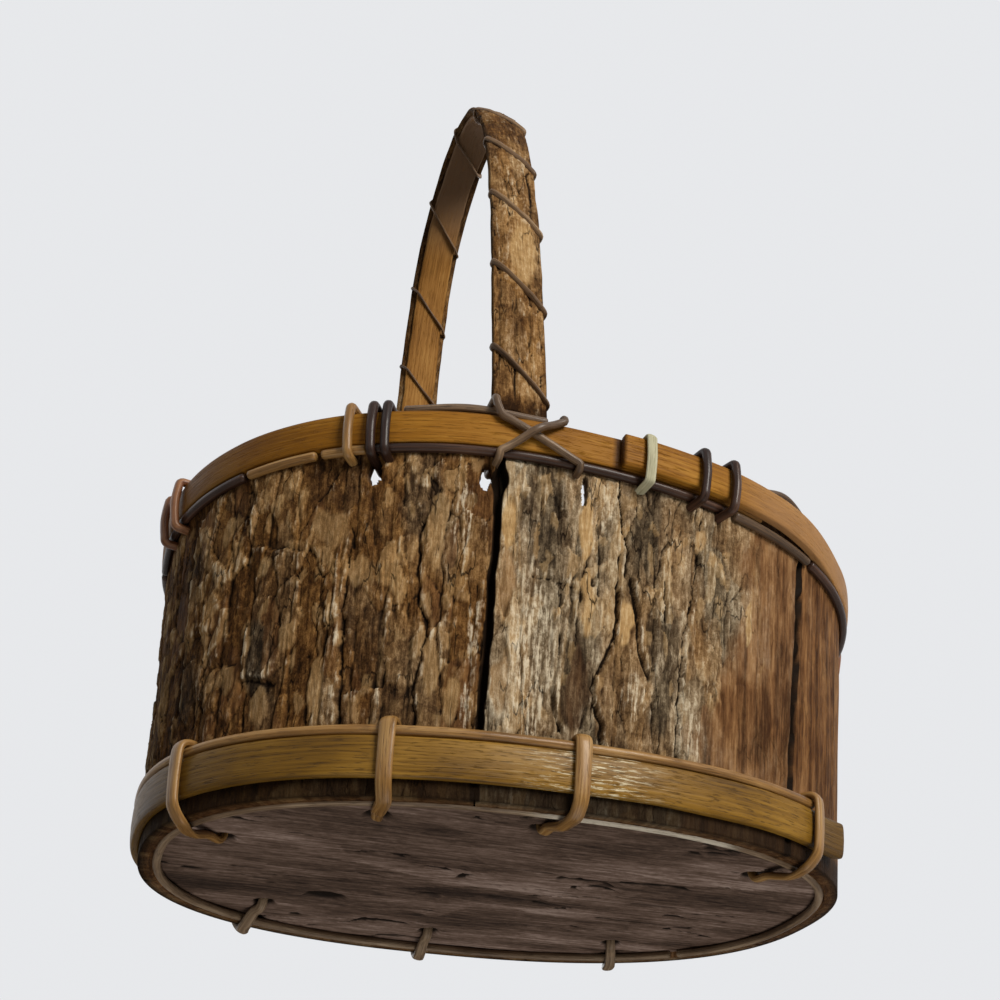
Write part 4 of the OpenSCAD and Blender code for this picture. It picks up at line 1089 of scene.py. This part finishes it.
def tie(node, turn, hole, inset, seed):
    r = SEAT + BEND_ROOM + TIE_T / 2
    cane_depth = HOOP_T - FOOT_CANE_D / 2
    ring_depth = INNER_IN + BASE_RING_D / 2
    reach = FOOT_CANE_D / 2 + r - 0.1
    quarter = np.radians([90, 60, 30, 0])
    over = [(0, cane_depth - reach * np.cos(f), FOOT_CANE_Z + reach * np.sin(f)) for f in quarter]
    under = [(0, -r, HOOP_Z), (0, 0.3 - r, 3.2), (0.02, 0.5, 1.6), (0.06, 1.8, 0.75)]
    tail = [
        (ring_depth / inset, ring_depth, BASE_RING_Z - BASE_RING_D / 2 - r),
        (1 - 2.6 * TIE_T / inset, inset - 2.6 * TIE_T, PLATE_Z - r),
        (1 - 0.7 * TIE_T / inset, inset - 0.7 * TIE_T, PLATE_Z - r + 0.2),
        (1, inset, PLATE_Z + 0.3 * PLATE_T),
        (1, inset, PLATE_Z + 0.3 * PLATE_T + TIE_W),
    ]
    route = [(0, BARK_BACK - 1.2, FOOT_CANE_Z + reach), *over, *under, *tail]
    path = [wall(turn + (hole - turn) * share, z, depth) for share, depth, z in route]
    along = wall(turn + 0.5, 14.0, 0) - wall(turn - 0.5, 14.0, 0)
    finish = ring_cane if turn > 360 else tan_cane
    tube(node, finish, path, along, TIE_W, TIE_T, seed, 2.5, low=0.0, taper=0.6)


for k, (node, turn, hole, inset) in enumerate(TIES):
    tie(node, turn, hole, inset, 601 + k)

# %% Lashings of the rim
LASH_LOW = RIM_HOOP + SEAT + RIM_CANE_D
LASH_BEND = SEAT + BEND_ROOM + LASH_D / 2
LASH_TAIL, CLOSE, ENDS, APART, BOW = 1.98, 3.11, 5.04, 7.92, 0.5
LASHINGS = [
    ("lash_left_end", red_cane, "red_cane", 187.0, 2, APART),
    ("lash_front_tan", tan_cane, "tan_cane", 235.5, 1, 0.0),
    ("lash_front_dark", dark_cane, "dark_cane", 239.2, 2, CLOSE),
    ("lash_lap", pale_bast, "pale_cane", 274.5, 1, 0.0),
    ("lash_front_right", dark_cane, "dark_cane", 282.0, 2, APART),
    ("lash_right_end", red_cane, "red_cane", 352.0, 2, ENDS),
    ("lash_back_right", dark_cane, "dark_cane", 408.0, 2, CLOSE),
    ("lash_back_left", tan_cane, "tan_cane", 500.0, 2, CLOSE),
]


def lashing(node, finish, turn, loops, pitch, seed):
    flat = node == "lash_lap"
    wide, thick = (0.65 * TIE_W, LASH_D / 2) if flat else (LASH_D, LASH_D)
    r = SEAT + BEND_ROOM + thick / 2
    face = -float(lap_rise(turn)) if LAP_FROM <= turn <= LAP_RAMP[1] else 0.0
    low = LASH_LOW + LASH_BEND - r
    route = [(0, INNER_BACK + r, low + r)]
    for loop in range(loops):
        s, after = loop * pitch, (loop + 1) * pitch
        route += bend(s, face, low, r, 270, 360) + [(s, face - r - BOW, low / 2)]
        route += bend(s, face, 0, r, 0, 90) + bend(s, INNER_BACK, 0, r, 90, 180)
        if loop < loops - 1:
            route += bend(after, INNER_BACK, low, r, 180, 270)
    route.append(((loops - 1) * pitch, INNER_BACK + r, LASH_TAIL))
    turns = [beside(turn, s) for s, _, _ in route]
    path = [wall(t, rim_top(t) - drop, depth) for t, (_, depth, drop) in zip(turns, route)]
    along = wall(turn + 0.5, RIM_H, 0) - wall(turn - 0.5, RIM_H, 0)
    tube(node, finish, path, along, 1.2 * wide, 1.12 * thick, seed, 2.0)


for k, (node, finish, slot, turn, loops, pitch) in enumerate(LASHINGS):
    lashing(node, finish, turn, loops, pitch, 631 + 3 * k)

# %% [markdown]
# ## Handle
#
# The handle is a strip of bamboo bent into a tall arch, with its legs pushed down inside the rim. A wider
# strip of bark lies along its outside and one cane winds round both from foot to foot. The arch is an oval
# like the wall, so its line is written once and the strips and the winding are measured along it.

# %% Line of the arch
HANDLE_H, ARCH_POWER, LEG_L = 248.5, 2.6, 32.0
CORE_W, CORE_T, STRIP_W, STRIP_T, STRIP_RISE = 10.3, 1.8, 13.6, 2.0, 6.5
WRAP_W, WRAP_T, WRAP_PITCH, WRAP_RISE = 1.55, 0.8, 29.8, 3.2
LEG_IN = INNER_BACK + SEAT


def leg_y(z):
    return min(wall_y(HANDLE_X + side * CORE_W / 2, z, LEG_IN) for side in (-1, 1)) - CORE_T / 2


SPRING_Z = float(rim_top(LEG_FRONT))
SPRING_Y = float(leg_y(SPRING_Z))
ARCH_F = np.radians(np.linspace(0, 180, 361))
ARCH_Y = -SPRING_Y * np.sign(np.cos(ARCH_F)) * np.abs(np.cos(ARCH_F)) ** (2 / ARCH_POWER)
ARCH_Z = SPRING_Z + (HANDLE_H - CORE_T / 2 - SPRING_Z) * np.abs(np.sin(ARCH_F)) ** (2 / ARCH_POWER)
ARCH_RUN = np.concatenate([[0.0], np.cumsum(np.hypot(np.diff(ARCH_Y), np.diff(ARCH_Z)))])
ARCH_L = ARCH_RUN[-1]


def on_handle(u, v, s):
    near, far = np.maximum(s - 2, 0), np.minimum(s + 2, ARCH_L)
    dy = np.interp(far, ARCH_RUN, ARCH_Y) - np.interp(near, ARCH_RUN, ARCH_Y)
    dz = np.interp(far, ARCH_RUN, ARCH_Z) - np.interp(near, ARCH_RUN, ARCH_Z)
    size = np.hypot(dy, dz)
    y = np.interp(s, ARCH_RUN, ARCH_Y) - v * dz / size
    z = np.interp(s, ARCH_RUN, ARCH_Z) + v * dy / size
    return np.stack(np.broadcast_arrays(HANDLE_X + u, y, z), axis=-1)


print("arch length: %.0f mm" % ARCH_L)

# %% Bamboo core
FOOT_END = SPRING_Z - LEG_L
core_line = [(HANDLE_X, side * leg_y(z), z) for side, z in ((-1, FOOT_END), (-1, FOOT_END + LEG_L / 2))]
core_line += [tuple(on_handle(0.0, 0.0, s)) for s in np.linspace(0, ARCH_L, 70)]
core_line += [(HANDLE_X, leg_y(z), z) for z in (FOOT_END + LEG_L / 2, FOOT_END)]
tube("handle_core", core_bamboo, core_line, (1, 0, 0), CORE_W, CORE_T, 701, 6.0, 1.2, stain=0.09)


# %% Bark strip on the handle
STRIP_LOW = CORE_T / 2 + 0.05
STRIP_SIDE, STRIP_HIGH = STRIP_LOW + 0.6 * STRIP_T, STRIP_LOW + STRIP_T

# Each long crack: place across the strip, then where it begins and ends, in mm from the nearer end
STRIP_CRACKS = [
    (-4.6, 18, 78), (-1.2, 8, 46), (2.4, 12, 52), (4.2, 74, 112), (-2.6, 66, 106), (0.6, 84, 125),
]


def handle_bark():
    step, under = 0.45, 6
    over = int(STRIP_W / step)
    below, above = np.linspace(1, -1, under + 1), np.linspace(-1, 1, over + 1)[1:-1]
    share = np.concatenate([below, above, [1.0]])[:, None]
    outside = np.concatenate([np.zeros(under + 1), np.ones(over - 1), [0.0]])[:, None]
    rows = np.linspace(0, 1, int((ARCH_L - 2 * STRIP_RISE) / step) + 1)[None, :]
    ragged = [STRIP_RISE - 1.2 + 2.2 * noise(share * 3.1, 0.5, seed) for seed in (711, 712)]
    s = ragged[0] + (ARCH_L - ragged[0] - ragged[1]) * rows
    u = share * STRIP_W / 2 * (1 + 0.05 * wobble(s, 713, 11.0) * np.sign(share))
    from_end = np.minimum(s, ARCH_L - s)
    level, tone, bare, hue = rough_bark(u + 40, s, 721, 0.3)
    level *= 0.75
    tone = 0.5 * tone + 0.9 * (layers_of(u / 5, s / 16, 725, 3) - 0.5) + 0.22
    for k, (middle, first, last) in enumerate(STRIP_CRACKS):
        away = u - middle - 1.1 * wobble(s, 741 + k, 12.0) - 0.3 * wobble(s, 751 + k, 3.0)
        inside = smooth((from_end - first) / 4) * smooth((last - from_end) / 4)
        level -= 0.65 * inside * np.exp(-(away / 0.4) ** 2)
    torn = 0.7 * (layers_of(u / 2, s / 5, 731, 3) - 0.5)
    bare_patch = smooth((1.1 + torn - np.hypot((u - 1.5) / 3.6, (s - 62) / 12)) / 0.3)
    pale = np.clip(bare * 0.4 + 0.75 * bare_patch, 0, 1)
    level = level * (1 - 0.7 * bare_patch)
    tone = tone - 0.02 - 0.4 * smooth((from_end - 98) / 20) - 0.9 * smooth(1 - (from_end - 7) / 6)
    dome = np.interp(np.abs(share), [0, 0.5, 1], [STRIP_HIGH, STRIP_HIGH - 0.1, STRIP_SIDE])
    v = np.where(outside > 0, dome - 0.35 + 0.55 * np.minimum(level, 0.6), STRIP_LOW)
    hollow = np.where(outside > 0, hollow_of(level), 0.4)
    marks = {
        "tone": tone, "hollow": hollow, "red": 0.1 + 0 * level, "pale": np.where(outside > 0, pale, 0),
        "grey": np.clip(0.2 + 0.6 * (hue - 0.5), 0, 1),
    }
    uv = np.stack(np.broadcast_arrays(u + 40 * outside, s), axis=-1)
    add_piece("handle_bark", skin(on_handle(u, v, s), uv, marks), bark_outside)


handle_bark()


# %% Cane wound round the handle
def handle_wrap():
    hull = [
        (CORE_W / 2, -CORE_T / 2), (STRIP_W / 2, STRIP_LOW), (STRIP_W / 2, STRIP_SIDE),
        (STRIP_W / 4, STRIP_HIGH), (-STRIP_W / 4, STRIP_HIGH),
        (-STRIP_W / 2, STRIP_SIDE), (-STRIP_W / 2, STRIP_LOW), (-CORE_W / 2, -CORE_T / 2),
    ]
    hull = np.array(hull) * [0.94, 1.0] - [0.0, 0.35]
    r = 0.5 * WRAP_T - 0.1
    ahead = np.roll(hull, -1, axis=0) - hull
    side = np.stack([ahead[:, 1], -ahead[:, 0]], axis=1) / np.linalg.norm(ahead, axis=1)[:, None]
    loop = [np.array([0.0, -CORE_T / 2 - r])]
    for k, corner in enumerate(hull):
        loop += [corner + r * side[k - 1], corner + r * side[k]]
    loop = np.array(loop)
    widths = np.abs(np.roll(loop, -1, axis=0)[:, 0] - loop[:, 0])
    share = np.concatenate([[0.0], np.cumsum(widths)[:-1]]) / widths.sum()
    turns = np.floor(2 * (ARCH_L - 2 * WRAP_RISE) / WRAP_PITCH) / 2
    count = int(turns * len(loop))
    route = []
    for k in range(count + 1):
        lap, i = divmod(k, len(loop))
        route.append(on_handle(loop[i, 0], loop[i, 1], WRAP_RISE + WRAP_PITCH * (lap + share[i])))
    tube("handle_wrap", wrap_cane, route, (0, 0, 1), WRAP_W, WRAP_T, 741)


handle_wrap()

# %% Lashings of the handle
LEG_SIDE = CORE_W / 2 + SEAT + LASH_D / 2
FRONT_REACH = (-LEG_SIDE - 0.3, LEG_SIDE + 5.4)
BACK_REACH = (-LEG_SIDE - 2.88, LEG_SIDE + 2.88)
FRONT_LIFT = SEAT + TOP_CANE_D + 1.0


def handle_lashing(node, side, reach, lift, seed):
    r = LASH_BEND
    deep = half_w(SPRING_Z) - SPRING_Y + CORE_T / 2
    left, right = reach
    over = STRIP_W / 2 + SEAT + LASH_D / 2
    across = 2 * over / (right - left + 2 * over)
    hump = LASH_D + 0.4
    route = [(right, INNER_BACK + r, LASH_LOW - LASH_TAIL)]
    route += bend(right, INNER_BACK, LASH_LOW, r, 180, 270) + bend(right, 0, LASH_LOW, r, 270, 360)
    for v in np.arange(1, 12) / 12:
        route.append((right - (right + over) * v, -r, LASH_LOW * (1 - v)))
    route += bend(-over, 0, -lift, r, 0, 90) + bend(-over, INNER_BACK, -lift, r, 90, 180)
    quarter = np.radians([0, 45, 90])
    route += [(-CORE_W / 2 - r * np.cos(f), deep + r * np.sin(f), LASH_TAIL) for f in quarter]
    route += [(CORE_W / 2 + r * np.cos(f), deep + r * np.sin(f), LASH_TAIL) for f in quarter[::-1]]
    route += bend(over, INNER_BACK, 0, r, 180, 90) + bend(over, 0, 0, r, 90, 0)
    for v in np.arange(1, 12) / 12:
        bulge = hump * np.exp(-(((v - across) / 0.25) ** 2))
        route.append((over + (left - over) * v, -r - bulge, LASH_LOW * v))
    route += bend(left, 0, LASH_LOW, r, 360, 270) + bend(left, INNER_BACK, LASH_LOW, r, 270, 180)
    route.append((left, INNER_BACK + r, LASH_LOW - LASH_TAIL))
    path = []
    for along, depth, drop in route:
        x = HANDLE_X + along
        z = rim_dip((x - lean(RIM_H)) / half_l(RIM_H)) - drop
        path.append((x, side * wall_y(x, z, depth), z))
    tube(node, weathered_cane, path, (1, 0, 0), LASH_D, LASH_D, seed)


handle_lashing("handle_lash_front", -1, FRONT_REACH, FRONT_LIFT, 751)
handle_lashing("handle_lash_back", 1, BACK_REACH, 0.0, 761)

# %% [markdown]
# ## Floor, light and camera
#
# The photograph was taken from below the base, so a normal floor would hide the basket. This floor is seen
# only from above: from below it is clear, and it lets light through to the underside. The light is soft and
# comes from the front, with weaker lamps behind so that every side can be looked at.

# %% Floor
def pale_floor():
    f = Finish(bpy.data.materials.new("pale_floor"))
    behind = f.node("ShaderNodeNewGeometry", output="Backfacing")
    shown = f.seen() * (1 - behind)
    matt = f.node("ShaderNodeBsdfDiffuse", {}, {"Color": (0.74, 0.74, 0.73)})
    clear = f.node("ShaderNodeBsdfTransparent")
    mixed = f.node("ShaderNodeMixShader", {}, {0: shown, 1: clear, 2: matt})
    f.node("ShaderNodeOutputMaterial", {}, {"Surface": mixed})
    bm = bmesh.new()
    bmesh.ops.create_grid(bm, x_segments=2, y_segments=2, size=2.0)
    bmesh.ops.translate(bm, verts=bm.verts, vec=(0, 0, -0.0002))
    mesh = bpy.data.meshes.new("floor")
    bm.to_mesh(mesh)
    bm.free()
    mesh.materials.append(f.owner)
    floor = bpy.data.objects.new("floor", mesh)
    bpy.context.collection.objects.link(floor)


pale_floor()

# %% World and lamps
BACKDROP, AMBIENT, AMBIENT_LEVEL = (0.80, 0.81, 0.83), (1.0, 0.98, 0.95), 0.19


def soft_room():
    f = Finish(bpy.data.worlds.new("soft_room"))
    backdrop = f.node("ShaderNodeBackground", {}, {"Color": BACKDROP})
    ambient = f.node("ShaderNodeBackground", {}, {"Color": AMBIENT, "Strength": AMBIENT_LEVEL})
    mixed = f.node("ShaderNodeMixShader", {}, {0: f.seen(), 1: ambient, 2: backdrop})
    f.node("ShaderNodeOutputWorld", {}, {"Surface": mixed})
    bpy.context.scene.world = f.owner


soft_room()
LAMPS = [
    ("key", (0.32, -0.92, 0.42), 0.45, 10.6, (1.0, 0.95, 0.88)),
    ("left_fill", (-0.8, 0.35, 0.5), 0.6, 0.8, (1.0, 1.0, 1.0)),
    ("back_fill", (0.2, 0.95, 0.55), 0.7, 4.0, (1.0, 1.0, 1.0)),
    ("under_fill", (0.1, -0.1, -0.8), 0.6, 3.0, (1.0, 0.97, 0.93)),
]
AIM = Vector((0.0, 0.0, 0.07))
for name, place, size, power, tint in LAMPS:
    lamp = bpy.data.lights.new(name, "AREA")
    lamp.size = size
    lamp.energy = power
    lamp.color = tint
    holder = bpy.data.objects.new(name, lamp)
    holder.location = place
    holder.rotation_euler = (AIM - holder.location).to_track_quat("-Z", "Y").to_euler()
    bpy.context.collection.objects.link(holder)
print("lamps:", len(LAMPS))

# %% Camera
VIEW_FROM = (-0.08651, -0.2579, -0.08249)
VIEW_RIGHT = (0.9498, -0.3126, 0.0075)
VIEW_UP = (-0.1872, -0.5492, 0.8145)
VIEW_AHEAD = (0.2505, 0.775, 0.5802)
lens = bpy.data.cameras.new("photo_view")
lens.lens = 43.2
lens.sensor_width = 36.0
lens.clip_start = 0.01
camera = bpy.data.objects.new("photo_view", lens)
turned = Matrix((VIEW_RIGHT, VIEW_UP, tuple(-v for v in VIEW_AHEAD))).transposed()
camera.matrix_world = Matrix.Translation(VIEW_FROM) @ turned.to_4x4()
bpy.context.collection.objects.link(camera)
bpy.context.scene.camera = camera
bpy.context.scene.view_settings.view_transform = "Standard"
print("camera at", VIEW_FROM)
